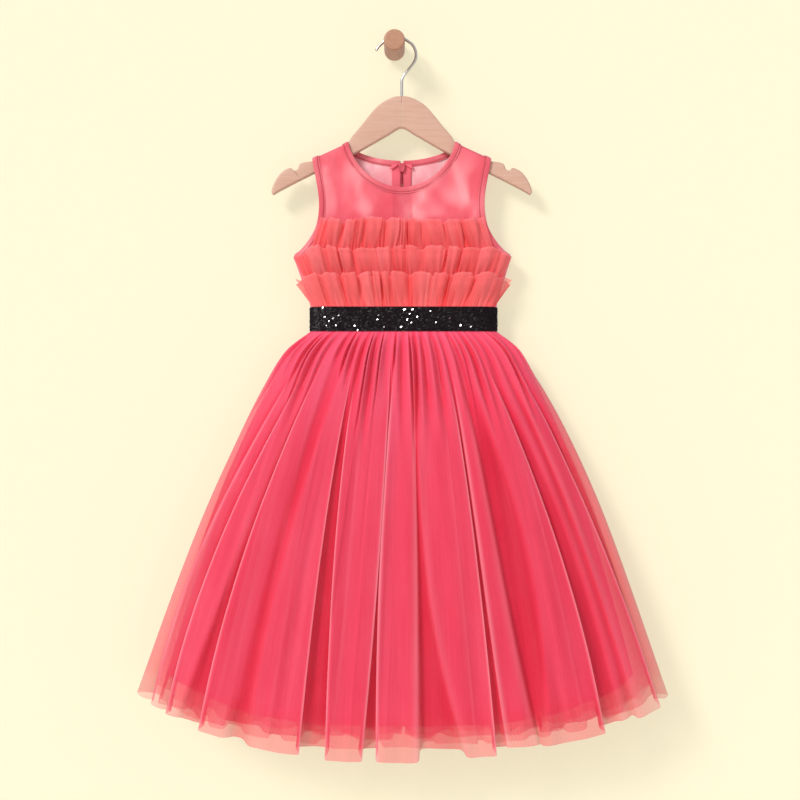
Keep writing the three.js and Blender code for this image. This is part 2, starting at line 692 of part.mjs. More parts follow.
// The hook: a wire over the peg, then a wide bend and a straight shank into the wood
const shankDepth = 10;
const hookBend = 19;
const hookBendX = 7.1;
const hookBendZ = -9.9;
const pegBend = pegDiameter / 2 + seatGap + wireDiameter / 2;

function hookRoute() {
  const route = [];
  const at = (x, z) => route.push(new THREE.Vector3(x, hangPlane, z));
  const tip = { x: -22.5, z: -5.4 };
  const start = { angle: 158, end: 62 };
  const first = {
    x: pegBend * Math.cos(THREE.MathUtils.degToRad(start.angle)),
    z: pegBend * Math.sin(THREE.MathUtils.degToRad(start.angle)),
  };
  at(tip.x, tip.z);
  at((tip.x + first.x) / 2 - 0.6, (tip.z + first.z) / 2);
  for (const angle of evenly(start.angle, start.end, 8)) {
    const turn = THREE.MathUtils.degToRad(angle);
    at(pegBend * Math.cos(turn), pegBend * Math.sin(turn));
  }
  for (const angle of evenly(46, -38, 7)) {
    const turn = THREE.MathUtils.degToRad(angle);
    at(hookBendX + hookBend * Math.cos(turn), hookBendZ + hookBend * Math.sin(turn));
  }
  at(14.6, -31);
  at(hangerCentre + 2.2, -35.4);
  at(hangerCentre + 0.3, -40);
  at(hangerCentre, -45);
  at(hangerCentre, hangerTop - shankDepth);
  return new THREE.CatmullRomCurve3(route, false, 'centripetal');
}

function makeHook() {
  const sides = 8;
  const circle = new THREE.Shape(evenly(0, 1, sides).slice(0, -1).map((turn) => new THREE.Vector2(
    (wireDiameter / 2) * Math.cos(2 * Math.PI * turn),
    (wireDiameter / 2) * Math.sin(2 * Math.PI * turn),
  )));
  return new THREE.ExtrudeGeometry(circle, { extrudePath: hookRoute(), steps: 44 });
}
addPiece('hanger_wood', makeHanger(), colours.wood, 0.6);
addPiece('hanger_hook', makeHook(), colours.steel, 0.3, 1);

export default dress;
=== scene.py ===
import bpy
import numpy as np
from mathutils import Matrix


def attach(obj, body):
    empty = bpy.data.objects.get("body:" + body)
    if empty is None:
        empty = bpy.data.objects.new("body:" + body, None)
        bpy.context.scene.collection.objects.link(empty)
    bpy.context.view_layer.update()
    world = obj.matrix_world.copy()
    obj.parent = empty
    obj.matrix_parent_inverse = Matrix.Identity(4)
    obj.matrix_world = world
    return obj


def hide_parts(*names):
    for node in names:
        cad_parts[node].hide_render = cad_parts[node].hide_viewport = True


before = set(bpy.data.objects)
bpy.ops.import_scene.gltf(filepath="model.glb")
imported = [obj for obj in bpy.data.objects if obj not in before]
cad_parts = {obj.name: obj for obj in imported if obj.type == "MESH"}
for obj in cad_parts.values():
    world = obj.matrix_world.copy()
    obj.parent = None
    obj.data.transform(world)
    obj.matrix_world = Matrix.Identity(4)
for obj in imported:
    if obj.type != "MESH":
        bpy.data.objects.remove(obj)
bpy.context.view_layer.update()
scene = bpy.context.scene
print("frame loaded")

# ---- camera, light and stage

view = {"x": 6.7, "y": -1880.0, "z": -428.0, "lens": 69.03, "sensorWidth": 36.0}
light = {
    "skyColour": "#FFFFFF", "skyStrength": 0.62,
    "sunColour": "#FFFDF8", "sunStrength": 2.2, "sunAngle": 0.28,
    "sunFrom": (-0.56, -0.68, 0.54),      # a window at the upper left, in front
}
stage = {"wallColour": "#FFF9D9", "wallGlow": 0.565, "wallBase": "#ADA693", "wallY": 1.5,
         "floorColour": "#F4EEDD", "floorZ": -1500.0}


def linear(hexText):
    # each sRGB channel turned to linear light
    channel = np.array([int(hexText[i:i + 2], 16) for i in (1, 3, 5)]) / 255
    dark, bright = channel / 12.92, ((channel + 0.055) / 1.055) ** 2.4
    return (*np.where(channel <= 0.04045, dark, bright).tolist(), 1.0)


def addObject(name, data):
    thing = bpy.data.objects.new(name, data)
    scene.collection.objects.link(thing)
    return thing


cameraData = bpy.data.cameras.new("camera")
cameraData.lens = view["lens"]
cameraData.sensor_width = view["sensorWidth"]
cameraData.clip_end = 50
cameraObject = addObject("camera", cameraData)
cameraObject.location = (view["x"] / 1000, view["y"] / 1000, view["z"] / 1000)
cameraObject.rotation_euler = (np.pi / 2, 0, 0)
scene.camera = cameraObject

scene.view_settings.view_transform = "Standard"
scene.cycles.transparent_max_bounces = 32     # the tulle lies in many layers


def addNode(tree, kind, settings=None, links=None):
    # one node: settings go to its own fields or sockets, links feed its sockets
    node = tree.nodes.new(kind)
    for key, value in (settings or {}).items():
        if isinstance(key, str) and hasattr(node, key):
            setattr(node, key, value)
        else:
            node.inputs[key].default_value = value
    for key, source in (links or {}).items():
        tree.links.new(source, node.inputs[key])
    return node


sky = bpy.data.worlds.new("soft room light")
scene.world = sky
sky.use_nodes = True
sky.node_tree.nodes["Background"].inputs["Color"].default_value = linear(light["skyColour"])
sky.node_tree.nodes["Background"].inputs["Strength"].default_value = light["skyStrength"]

sunData = bpy.data.lights.new("window light", "SUN")
sunData.energy = light["sunStrength"]
sunData.angle = light["sunAngle"]
sunData.color = linear(light["sunColour"])[:3]
sunObject = addObject("window light", sunData)
sunFrom = np.array(light["sunFrom"]) / np.linalg.norm(light["sunFrom"])
sunObject.rotation_euler = (
    float(np.arccos(sunFrom[2])), 0.0, float(np.arctan2(sunFrom[1], sunFrom[0]) + np.pi / 2)
)
print("camera and light")

# ---- tables and curves shared by the cloth


def smoothStep(low, high, at):
    t = np.clip((np.asarray(at, float) - low) / (high - low), 0, 1)
    return t * t * (3 - 2 * t)


def curveAt(table, column, at):
    # smooth cubic curve through a table's rows, whose first column says where each row stands
    rows = table[np.argsort(table[:, 0])]
    x, y = rows[:, 0], rows[:, column]
    last = len(x) - 1
    k = np.arange(last + 1)
    low, high = np.maximum(k - 1, 0), np.minimum(k + 1, last)
    tangent = (y[high] - y[low]) / (x[high] - x[low])
    place = np.clip(np.asarray(at, float), x[0], x[-1])
    i = np.clip(np.searchsorted(x, place, side="right") - 1, 0, last - 1)
    span = x[i + 1] - x[i]
    t = (place - x[i]) / span
    return ((2 * t**3 - 3 * t**2 + 1) * y[i] + (t**3 - 2 * t**2 + t) * span * tangent[i]
            + (3 * t**2 - 2 * t**3) * y[i + 1] + (t**3 - t**2) * span * tangent[i + 1])


def evenSteps(points, count):
    # a polyline taken again at even steps of its own length
    far = np.r_[0, np.cumsum(np.linalg.norm(np.diff(points, axis=0), axis=1))]
    at = np.linspace(0, far[-1], count)
    return np.stack([np.interp(at, far, points[:, k]) for k in range(points.shape[1])], axis=1)


# ---- making pieces from arrays


def gridFaces(rows, cols, closed=False):
    # quads of a grid whose columns cross its rows to face outwards; closed joins the last column to the first
    r, c = np.meshgrid(np.arange(rows - 1), np.arange(cols if closed else cols - 1), indexing="ij")
    right = (c + 1) % cols
    return np.stack([r * cols + c, r * cols + right, (r + 1) * cols + right, (r + 1) * cols + c],
                    axis=-1).reshape(-1, 4)


def makePiece(name, points, faces, material, slot, body="dress", uv=None, smooth=True, **channels):
    # points in mm, faces as rows of corner numbers, channels with one number for each point
    points = np.asarray(points, float).reshape(-1, 3)
    count, corners = faces.shape
    mesh = bpy.data.meshes.new(name)
    mesh.vertices.add(len(points))
    mesh.vertices.foreach_set("co", (points / 1000).astype(np.float32).ravel())
    mesh.loops.add(count * corners)
    mesh.loops.foreach_set("vertex_index", faces.astype(np.int32).ravel())
    mesh.polygons.add(count)
    mesh.polygons.foreach_set("loop_start", np.arange(count, dtype=np.int32) * corners)
    mesh.polygons.foreach_set("use_smooth", np.full(count, smooth))
    if uv is not None:
        layer = mesh.uv_layers.new(name="cloth")
        layer.data.foreach_set("uv", np.asarray(uv, np.float32).reshape(-1, 2)[faces.ravel()].ravel())
    for channel, values in channels.items():
        layer = mesh.attributes.new(channel, "FLOAT", "POINT")
        layer.data.foreach_set("value", np.broadcast_to(values, len(points)).astype(np.float32).ravel())
    mesh.update(calc_edges=True)
    mesh.materials.append(material)
    piece = addObject(name, mesh)
    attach(piece, body)
    return piece


def makeCloth(name, grid, material, slot, body="dress", wall=0.0, **channels):
    # a cloth surface from a grid of points (rows, columns, 3), with its wall put inside where one is given
    rows, cols = grid.shape[:2]
    down = np.linalg.norm(np.diff(grid, axis=0), axis=2).mean(axis=1)
    over = np.linalg.norm(np.diff(grid, axis=1), axis=2).mean(axis=0)
    v, u = np.r_[0, np.cumsum(down)], np.r_[0, np.cumsum(over)]
    uv = np.stack(np.meshgrid(u, v), axis=-1) / 1000
    flat = {key: np.broadcast_to(value, (rows, cols)).ravel() for key, value in channels.items()}
    piece = makePiece(name, grid, gridFaces(rows, cols), material, slot, body, uv, **flat)
    if wall:
        thick = piece.modifiers.new("wall", "SOLIDIFY")
        thick.thickness = wall / 1000
        thick.offset = -1
    return piece


def placeCopies(name, shape, faces, centres, axes, material, slot, body="dress", **channels):
    # one joined mesh of copies of a small shape: each point is centre + x*axis1 + y*axis2 + z*axis3
    points = centres[:, None, :] + np.einsum("pk,nkd->npd", shape, axes)
    shift = np.arange(len(centres))[:, None, None] * len(shape)
    each = {key: np.repeat(value, len(shape)) for key, value in channels.items()}
    return makePiece(name, points, (faces[None] + shift).reshape(-1, faces.shape[1]), material, slot, body,
                     **each)


def tubeGrid(path, widthWay, sizes, profile):
    # profile carried along a path: point = path + u*size*widthWay + v*size*(path's way x widthWay)
    way = np.gradient(path, axis=0)
    way /= np.linalg.norm(way, axis=1, keepdims=True)
    first = widthWay - way * np.sum(widthWay * way, axis=1, keepdims=True)
    first /= np.linalg.norm(first, axis=1, keepdims=True)
    second = np.cross(way, first)
    sizes = np.broadcast_to(sizes, (len(path), 2))
    return (path[:, None] + profile[None, :, 0:1] * sizes[:, None, 0:1] * first[:, None]
            + profile[None, :, 1:2] * sizes[:, None, 1:2] * second[:, None])


def roundProfile(sides, squareness=2.0):
    # points on a circle, squared off where the squareness is over 2
    turn = np.linspace(0, 2 * np.pi, sides, endpoint=False)
    shape = np.stack([np.cos(turn), np.sin(turn)], axis=1)
    reach = (np.abs(shape) ** squareness).sum(axis=1) ** (1 / squareness)
    return shape / reach[:, None]


def makeTube(name, grid, material, slot, body="dress", **channels):
    # a closed tube from rings of points, with a point in the middle of each end
    rings, sides = grid.shape[:2]
    points = np.vstack([grid.reshape(-1, 3), grid[0].mean(axis=0), grid[-1].mean(axis=0)])
    k = np.arange(sides)
    after = (k + 1) % sides
    start, end = rings * sides, rings * sides + 1
    last = (rings - 1) * sides
    sideFaces = gridFaces(rings, sides, closed=True)
    caps = np.vstack([np.stack([np.full(sides, start), after, k], axis=1),
                      np.stack([np.full(sides, end), last + k, last + after], axis=1)])
    triangles = np.vstack([sideFaces[:, [0, 1, 2]], sideFaces[:, [0, 2, 3]], caps])
    return makePiece(name, points, triangles, material, slot, body, **channels)


def creaseHeight(x, z, creases):
    # sum of soft ridges (height above 0) and troughs (below 0), each along a line from one point to another
    height = np.zeros(np.broadcast(x, z).shape)
    for x0, z0, x1, z1, width, rise in creases:
        wayX, wayZ = x1 - x0, z1 - z0
        share = np.clip(((x - x0) * wayX + (z - z0) * wayZ) / (wayX**2 + wayZ**2), 0, 1)
        off = np.hypot(x - x0 - share * wayX, z - z0 - share * wayZ)
        height = height + rise * np.exp(-(off / width) ** 2)
    return height


# ---- materials


def newMaterial(name):
    material = bpy.data.materials.new(name)
    material.use_nodes = True
    tree = material.node_tree
    return material, tree, tree.nodes["Principled BSDF"]


def rampOf(tree, source, stops):
    # colours along a value: stops are (place, hex)
    ramp = addNode(tree, "ShaderNodeValToRGB", links={"Fac": source})
    elements = ramp.color_ramp.elements
    while len(elements) < len(stops):
        elements.new(0.5)
    for element, (place, hexText) in zip(elements, stops):
        element.position = place
        element.color = linear(hexText)
    return ramp.outputs["Color"]


def mixOf(tree, factor, first, second):
    # second over first by the factor
    return addNode(tree, "ShaderNodeMix", {"data_type": "RGBA"},
                   {0: factor, 6: first, 7: second}).outputs[2]


def objectNoise(tree, size, scale=(1, 1, 1), turn=(0, 0, 0), detail=2.0):
    # noise with blotches of one size in mm on the piece's own coordinates, stretched by the scale
    coords = addNode(tree, "ShaderNodeTexCoord")
    mapping = addNode(tree, "ShaderNodeMapping", {"Scale": scale, "Rotation": turn},
                      {"Vector": coords.outputs["Object"]})
    return addNode(tree, "ShaderNodeTexNoise", {"Scale": 1000 / size, "Detail": detail},
                   {"Vector": mapping.outputs["Vector"]}).outputs[0]


def clothStreaks(tree, across, along, detail=1.0):
    # noise on the cloth's own map, which runs along its width and length in metres: streaks of one width
    # and length in mm
    place = addNode(tree, "ShaderNodeUVMap", {"uv_map": "cloth"})
    mapping = addNode(tree, "ShaderNodeMapping", {"Scale": (1000 / across, 1000 / along, 1)},
                      {"Vector": place.outputs["UV"]})
    return addNode(tree, "ShaderNodeTexNoise", {"Scale": 1.0, "Detail": detail},
                   {"Vector": mapping.outputs["Vector"]}).outputs[0]


def channelOf(tree, name):
    return addNode(tree, "ShaderNodeAttribute", {"attribute_name": name}).outputs["Fac"]


def polyesterSatin(name, tones, roughness=0.42, thin=False):
    # woven polyester satin: a soft sheen, with broad, pale, watery patches on the bias that are painted
    # sheen, and painted highlights and shade from the sheen channel
    material, tree, shader = newMaterial(name)
    patches = objectNoise(tree, 46, scale=(1.5, 1.0, 0.8), turn=(0, 0.6, 0), detail=4.0)
    colour = rampOf(tree, patches, list(zip((0.34, 0.46, 0.57, 0.67), tones)))
    # painted highlights and shade: the sheen channel lightens or darkens the colour, mixed in by sheenMix
    light = rampOf(tree, channelOf(tree, "sheen"), [(0.0, tones[0]), (0.5, tones[1]), (1.0, tones[3])])
    colour = mixOf(tree, channelOf(tree, "sheenMix"), colour, light)
    tree.links.new(colour, shader.inputs["Base Color"])
    shader.inputs["Roughness"].default_value = roughness
    shader.inputs["Specular IOR Level"].default_value = 0.3
    shader.inputs["Sheen Weight"].default_value = 0.15
    if thin:
        tree.links.new(channelOf(tree, "cover"), shader.inputs["Alpha"])
    return material


def softTulle(name, tones, streak, roughness=0.75):
    # polyester tulle: sheer net whose colour deepens where the folds gather and pales where it is single, and
    # which carries painted shade in its recesses and a painted highlight along its fold edges
    material, tree, shader = newMaterial(name)
    colour = rampOf(tree, channelOf(tree, "depth"), list(zip((0.0, 0.35, 0.7, 1.0), tones)))
    patches = rampOf(tree, objectNoise(tree, 70, scale=(1.6, 1.0, 0.5)), [(0.36, tones[1]), (0.66, tones[2])])
    colour = mixOf(tree, channelOf(tree, "patchy"), colour, patches)
    streaks = rampOf(tree, clothStreaks(tree, 1.6, 90), [(0.3, "#F2B9C2"), (0.62, "#FFFFFF")])
    colour = addNode(tree, "ShaderNodeMix", {"data_type": "RGBA", "blend_type": "MULTIPLY", 0: streak},
                     {6: colour, 7: streaks}).outputs[2]
    # painted highlight: the edge channel draws the colour towards pale pink along the fold edges
    colour = addNode(tree, "ShaderNodeMix", {"data_type": "RGBA", 7: linear("#FFC4D0")},
                     {0: channelOf(tree, "edge"), 6: colour}).outputs[2]
    tree.links.new(colour, shader.inputs["Base Color"])
    tree.links.new(channelOf(tree, "cover"), shader.inputs["Alpha"])
    shader.inputs["Roughness"].default_value = roughness
    shader.inputs["Specular IOR Level"].default_value = 0.2
    shader.inputs["Sheen Weight"].default_value = 0.12
    return material


def plainFinish(name, hexText, roughness, metallic=0.0, specular=0.5, coat=0.0):
    # one colour all over, for thread, steel and painted zinc
    material, _, shader = newMaterial(name)
    shader.inputs["Base Color"].default_value = linear(hexText)
    shader.inputs["Roughness"].default_value = roughness
    shader.inputs["Metallic"].default_value = metallic
    shader.inputs["Specular IOR Level"].default_value = specular
    shader.inputs["Coat Weight"].default_value = coat
    return material


def waxedBeech(name, tones, grainWay, roughness=0.5):
    # sawn and sanded beech: pale brown with fine short grain lines along the board
    material, tree, shader = newMaterial(name)
    stretch = tuple(0.06 if k == grainWay else 1.0 for k in range(3))
    lines = objectNoise(tree, 2.2, scale=stretch, detail=3.0)
    broad = objectNoise(tree, 22, scale=tuple(0.3 if k == grainWay else 1.0 for k in range(3)))
    colour = mixOf(tree, rampOf(tree, broad, [(0.3, "#202020"), (0.7, "#909090")]),
                   rampOf(tree, lines, [(0.3, tones[0]), (0.62, tones[1])]),
                   rampOf(tree, lines, [(0.36, tones[1]), (0.66, tones[2])]))
    tree.links.new(colour, shader.inputs["Base Color"])
    shader.inputs["Roughness"].default_value = roughness
    shader.inputs["Specular IOR Level"].default_value = 0.35
    return material


satinTones = ("#E04C60", "#EC6071", "#F67C8A", "#FFA6B0")
satin = polyesterSatin("polyester satin, coral", satinTones)
satinThin = polyesterSatin("polyester satin, single front layer", satinTones, thin=True)
# painted light: a paler copy of the same satin, for the inside of the back panels
satinInsidePaintedLight = polyesterSatin("polyester satin, inside, with painted light", ("#F38997", "#FAA2AE", "#FFC2CB", "#FFE4E8"), 0.34)
biasBinding = polyesterSatin("satin bias binding", ("#D04A5C", "#DE5C6C", "#E96E7C", "#F48E99"), 0.4)
ruffleTulle = softTulle("gathered tulle, ruffles", ("#FF9298", "#FF7C81", "#FF6065", "#F43E42"), 0.2)
skirtTulle = softTulle("soft tulle, skirt", ("#FF7698", "#FA5476", "#F4385B", "#D61C3D"), 0.35)
sewingThread = plainFinish("polyester sewing thread", "#B5404E", 0.6)
# painted light: a pale copy of the sewing thread, as the thread looks where light falls on it
threadPaintedLit = plainFinish("polyester sewing thread, in the light", "#F4A0A8", 0.6)
wovenBand = plainFinish("woven black band", "#0E070B", 0.8, specular=0.2)
blackSequins = plainFinish("black polyester sequins", "#140A10", 0.36, specular=0.14)
# painted glints: a pale silver copy of the black sequins, for those that catch the light
glintSequinsPaintedSilver = plainFinish("black sequins painted silver as glints", "#D8D2D4", 0.22, metallic=1.0)
zipTape = plainFinish("polyester zip tape", "#F0677A", 0.7, specular=0.3)
zipCoil = plainFinish("nylon zip coil", "#B23C4C", 0.4)
paintedZinc = plainFinish("painted zinc slider", "#CE4A5E", 0.3)
nickelWire = plainFinish("nickel plated wire", "#CFCBC8", 0.3, metallic=1.0)
hangerBeech = waxedBeech("waxed beech, hanger", ("#CCA08E", "#D2A998", "#D9B4A4"), 0)
pegBeech = waxedBeech("oiled beech, peg", ("#B08068", "#BB8C74", "#C69A83"), 1)
wallPaint = plainFinish("matt wall paint", stage["wallBase"], 0.9, specular=0.0)
floorPaint = plainFinish("matt pale floor", stage["floorColour"], 0.9, specular=0.1)

# ---- wall and floor, which aren't part of the dress

across = np.array([-6000.0, 6000.0])
wallGrid = np.stack(np.broadcast_arrays(across[None, :], stage["wallY"],
                                        np.array([-1500.0, 4000.0])[:, None]), -1)
floorGrid = np.stack(np.broadcast_arrays(across[None, :], np.array([-6000.0, 6000.0])[:, None],
                                         stage["floorZ"]), -1)


def addStage(name, grid, material):
    mesh = bpy.data.meshes.new(name)
    mesh.from_pydata((grid.reshape(-1, 3) / 1000).tolist(), [], gridFaces(2, 2).tolist())
    mesh.materials.append(material)
    panel = addObject(name, mesh)
    return panel


wallPanel = addStage("wall", wallGrid, wallPaint)
addStage("floor", floorGrid, floorPaint)

# the wall is seen from the front and takes the shadow, and is clear from behind
wallTree = wallPaint.node_tree
wallShader = wallTree.nodes["Principled BSDF"]
wallShader.inputs["Emission Color"].default_value = linear(stage["wallColour"])
wallShader.inputs["Emission Strength"].default_value = stage["wallGlow"]
behind = addNode(wallTree, "ShaderNodeNewGeometry").outputs["Backfacing"]
clear = addNode(wallTree, "ShaderNodeBsdfTransparent")
oneSided = addNode(wallTree, "ShaderNodeMixShader",
                   links={0: behind, 1: wallShader.outputs[0], 2: clear.outputs[0]})
wallTree.links.new(oneSided.outputs[0], wallTree.nodes["Material Output"].inputs["Surface"])
for ray in ("visible_shadow", "visible_diffuse", "visible_glossy", "visible_transmission"):
    setattr(wallPanel, ray, False)
print("materials and stage")


# ---- the dress's own sizes

dress = {
    "hangY": -22.0,            # y of the hanger and the side seams
    "neckHalf": 65.0, "neckSide": -116.5, "frontNeck": -171.5, "backNeck": -137.5,
    "shoulderHalf": 108.0, "shoulderEnd": -136.4,
    "yokeSeam": -217.0, "underarm": -254.0, "waist": -345.0,
    "neckShare": 0.62, "neckRound": 0.66,
}
# bodice sections: height, half width, half depth, centre
bodySections = np.array([
    (-100, 110, 8.2, 8.8), (-137, 107.6, 8.2, 8.8), (-160, 103.2, 8.2, 8.8), (-182, 99.8, 8.2, 8.8),
    (-199, 99.6, 8.4, 8.9), (-216, 102.4, 8.8, 9.0), (-228, 107.5, 9.3, 9.1), (-238, 114.5, 9.8, 9.2),
    (-246.5, 122.5, 10.2, 9.4), (-254, 131.5, 10.6, 9.6), (-262, 129.5, 10.9, 9.8),
    (-280, 123.5, 11.2, 10.2), (-300, 117, 11.2, 10.6), (-316, 112.6, 11, 11), (-350, 112.6, 11, 11),
], float)
shoulderSlope = (dress["shoulderEnd"] - dress["neckSide"]) / (dress["shoulderHalf"] - dress["neckHalf"])


def shoulderLine(across):
    return dress["neckSide"] + shoulderSlope * (np.abs(across) - dress["neckHalf"])


def bodyDepth(x, z, out=0.0):
    # how far the cloth stands from the hanging plane: nearly flat across, rounded at the sides by
    # (1 - side^12)^0.5, and rounded over the hanger's arm within 5 mm of the shoulder line
    half = curveAt(bodySections, 1, z) + out
    middle = curveAt(bodySections, 2, z) + out
    centre = curveAt(bodySections, 3, z)
    edge = middle * smoothStep(dress["underarm"], dress["underarm"] + 30, z)
    side = np.minimum(np.abs(x - centre) / half, 1)
    crown = edge + (middle - edge) * np.sqrt(1 - side**12)
    below = np.maximum(shoulderLine(x - centre) + out - z, 0)
    turn = 1 - np.minimum(below / 5, 1)
    return np.maximum(crown * np.sqrt(1 - turn**2), 0.15)


def bodyPoint(x, z, side, out=0.0):
    # a point of the cloth in the front view, put on the front (side -1) or the back (side 1)
    return np.stack(np.broadcast_arrays(x, dress["hangY"] + side * bodyDepth(x, z, out), z), axis=-1)


def yokeTop(place, neckBottom):
    # top edge: a neckline z = side - drop * (1 - a^2)^0.66 out to the neck's half width, then the shoulder
    far, share = np.abs(place), dress["neckShare"]
    a = np.sin(np.pi / 2 * np.minimum(far / share, 1))
    drop = (dress["neckSide"] - neckBottom) * (1 - a * a) ** dress["neckRound"]
    along = np.maximum(far - share, 0) / (1 - share)
    outer = dress["neckHalf"] + (dress["shoulderHalf"] - dress["neckHalf"]) * along
    onNeck = far <= share
    x = np.sign(place) * np.where(onNeck, dress["neckHalf"] * a, outer)
    return x, np.where(onNeck, dress["neckSide"] - drop, shoulderLine(outer))


def yokeGrid(places, shares, neckBottom, side, creases, out=0.0):
    # straight columns from the bottom seam to the top edge, bent to the armhole by place^6, with creases
    place, share = np.meshgrid(places, shares)
    bottom = dress["yokeSeam"]
    centre, half = curveAt(bodySections, 3, bottom), curveAt(bodySections, 1, bottom)
    topX, topZ = yokeTop(place, neckBottom)
    z = bottom + (topZ - bottom) * share
    straight = place * half * (1 - share) + topX * share
    edge = curveAt(bodySections, 1, z)
    edgeStraight = half * (1 - share) + dress["shoulderHalf"] * share
    x = centre + straight + np.sign(place) * np.abs(place) ** 6 * (edge - edgeStraight)
    grid = bodyPoint(x, z, side, out)
    calm = smoothStep(0, 9, shoulderLine(x - centre) - z) * (1 - smoothStep(0.86, 1, np.abs(place)))
    height = creaseHeight(x, z, creases) * calm
    grid[..., 1] += side * height
    return grid, height


# soft creases in the satin: from (x, z) to (x, z), width, rise
yokeCreases = {
    "front": [
        (58, -150, 10, -214, 7, 0.9), (44, -176, 84, -212, 8, -0.7), (70, -140, 96, -206, 6, 0.8),
        (-48, -150, -30, -214, 8, 0.8), (-70, -140, -62, -214, 6, -0.8), (-84, -150, -86, -212, 5, 0.7),
        (-14, -182, -22, -214, 8, -0.5), (26, -188, 46, -214, 7, -0.6), (96, -160, 90, -212, 6, -0.6),
        (-40, -196, 30, -204, 9, 0.4),
    ],
    "back": [
        (-70, -136, -24, -200, 8, 0.8), (-40, -142, -50, -212, 7, -0.7), (-84, -150, -80, -210, 6, 0.6),
        (60, -138, 30, -206, 8, 0.7), (84, -140, 92, -212, 6, -0.7), (40, -150, 62, -212, 7, -0.5),
    ],
}
bodiceCreases = {
    "front": [(-60, -230, -40, -310, 7, 0.7), (30, -226, 50, -312, 7, -0.6), (90, -250, 70, -314, 7, 0.7)],
    "back": [
        (-96, -256, -60, -312, 8, 0.9), (-60, -226, -46, -312, 7, -0.8), (-24, -232, -26, -314, 6, 0.6),
        (34, -226, 40, -314, 7, -0.7), (70, -236, 58, -312, 8, 0.8), (112, -258, 84, -312, 7, 0.9),
    ],
}
zipGap = 0.9                       # from the centre to each back panel's edge
satinWall = 0.6


def noteSheet(piece):
    return piece


yokeShares = np.r_[np.linspace(0, 0.9, 46), np.linspace(0.91, 1, 22)]
# finer steps near the neck's edge, where the cut turns
nearNeck = np.linspace(0.56, 0.66, 16)
frontPlaces = np.sort(np.r_[np.linspace(-1, 1, 141), nearNeck, -nearNeck])
frontPlaces = np.unique(np.round(frontPlaces, 5))
grid, height = yokeGrid(frontPlaces, yokeShares, dress["frontNeck"], -1, yokeCreases["front"])
# painted sheen: where painted highlights and shade lie on the satin: x, z, half width, half height, how much
# lighter or darker
sheenPlaces = [
    (72, -184, 30, 15, 0.42), (84, -152, 12, 20, 0.22), (40, -205, 20, 9, 0.35), (-62, -160, 12, 24, 0.22),
    (-74, -192, 14, 16, 0.25), (-34, -200, 16, 10, 0.12), (-12, -196, 16, 16, -0.30),
    (6, -192, 16, 20, -0.35),
    (98, -176, 8, 26, -0.28), (60, -212, 16, 7, -0.22), (-40, -176, 12, 14, -0.18), (-52, -208, 12, 8, -0.2),
]


def placedSheen(grid, height, places):
    # painted sheen: half way, plus soft painted highlight and shade spots that lean with the bias, plus
    # painted light on the creases' ridges and painted shade in their troughs
    light = 0.5 + 0.35 * np.clip(height, -1, 1)
    for x, z, wide, tall, amount in places:
        offX, offZ = grid[..., 0] - x, grid[..., 2] - z
        light = light + amount * np.exp(-((offX - 0.35 * offZ) / wide) ** 2 - (offZ / tall) ** 2)
    return light


# the zip's tapes and coil show faintly through the single front layer: the cover is a little thinner over
# them, and they are painted shade in the sheen, with darker painted lines at the tape edges and the coil
zipEdge = np.exp(-((grid[..., 0] + 1.9) / 0.7) ** 2) + np.exp(-((grid[..., 0] - 20.6) / 0.7) ** 2)
overZip = smoothStep(-3, -1, grid[..., 0]) * smoothStep(21.5, 19.5, grid[..., 0])
overCoil = np.exp(-((grid[..., 0] - 10) / 1.6) ** 2)
yokeSheen = placedSheen(grid, height, sheenPlaces) - 0.16 * overZip - 0.4 * zipEdge - 0.12 * overCoil
yokeFront = makeCloth("yoke_front_satin", grid, satinThin, "satin", wall=satinWall, sheenMix=0.68,
                      cover=1 - 0.1 * overZip, sheen=np.clip(yokeSheen, 0, 1))
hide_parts("yoke_front")
noteSheet(yokeFront)

backPlaces = np.sort(np.r_[zipGap / 108, np.linspace(0.02, 1, 70), np.linspace(0.56, 0.66, 14)])
backPlaces = np.unique(np.round(backPlaces, 5))
for name, sign in (("right", 1), ("left", -1)):
    places = backPlaces[::-1] if sign > 0 else -backPlaces
    grid, height = yokeGrid(places, yokeShares, dress["backNeck"], 1, yokeCreases["back"])
    # painted highlights on the creases' ridges and painted shade in their troughs
    panel = makeCloth(f"yoke_back_{name}_satin", grid, satin, "satin", wall=satinWall,
                      sheen=0.5 + 0.6 * np.clip(height, -0.9, 0.9), sheenMix=0.35)
    # the inside of the back panels gets the paler, painted-light copy of the satin
    panel.data.materials.append(satinInsidePaintedLight)
    panel.modifiers["wall"].material_offset = 1
    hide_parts(f"yoke_back_{name}")
    noteSheet(panel)


def bodiceGrid(places, heights, side, creases, out=0.0):
    # x = centre + half width * sin(place * quarter turn), on the bodice's own depth, with creases
    place, z = np.meshgrid(places, heights)
    across = np.sin(np.pi / 2 * place)
    x = curveAt(bodySections, 3, z) + (curveAt(bodySections, 1, z) + out) * across
    grid = bodyPoint(x, z, side, out)
    calm = (1 - smoothStep(0.8, 1, np.abs(across))) * smoothStep(-217, -223, z) * smoothStep(-316, -308, z)
    height = creaseHeight(x, z, creases) * calm
    grid[..., 1] += side * height
    return grid, height


bodiceHeights = np.r_[np.linspace(-344.7, -262, 36), np.linspace(-260, -217.2, 34)]
grid, height = bodiceGrid(np.linspace(-1, 1, 121), bodiceHeights, -1, bodiceCreases["front"])
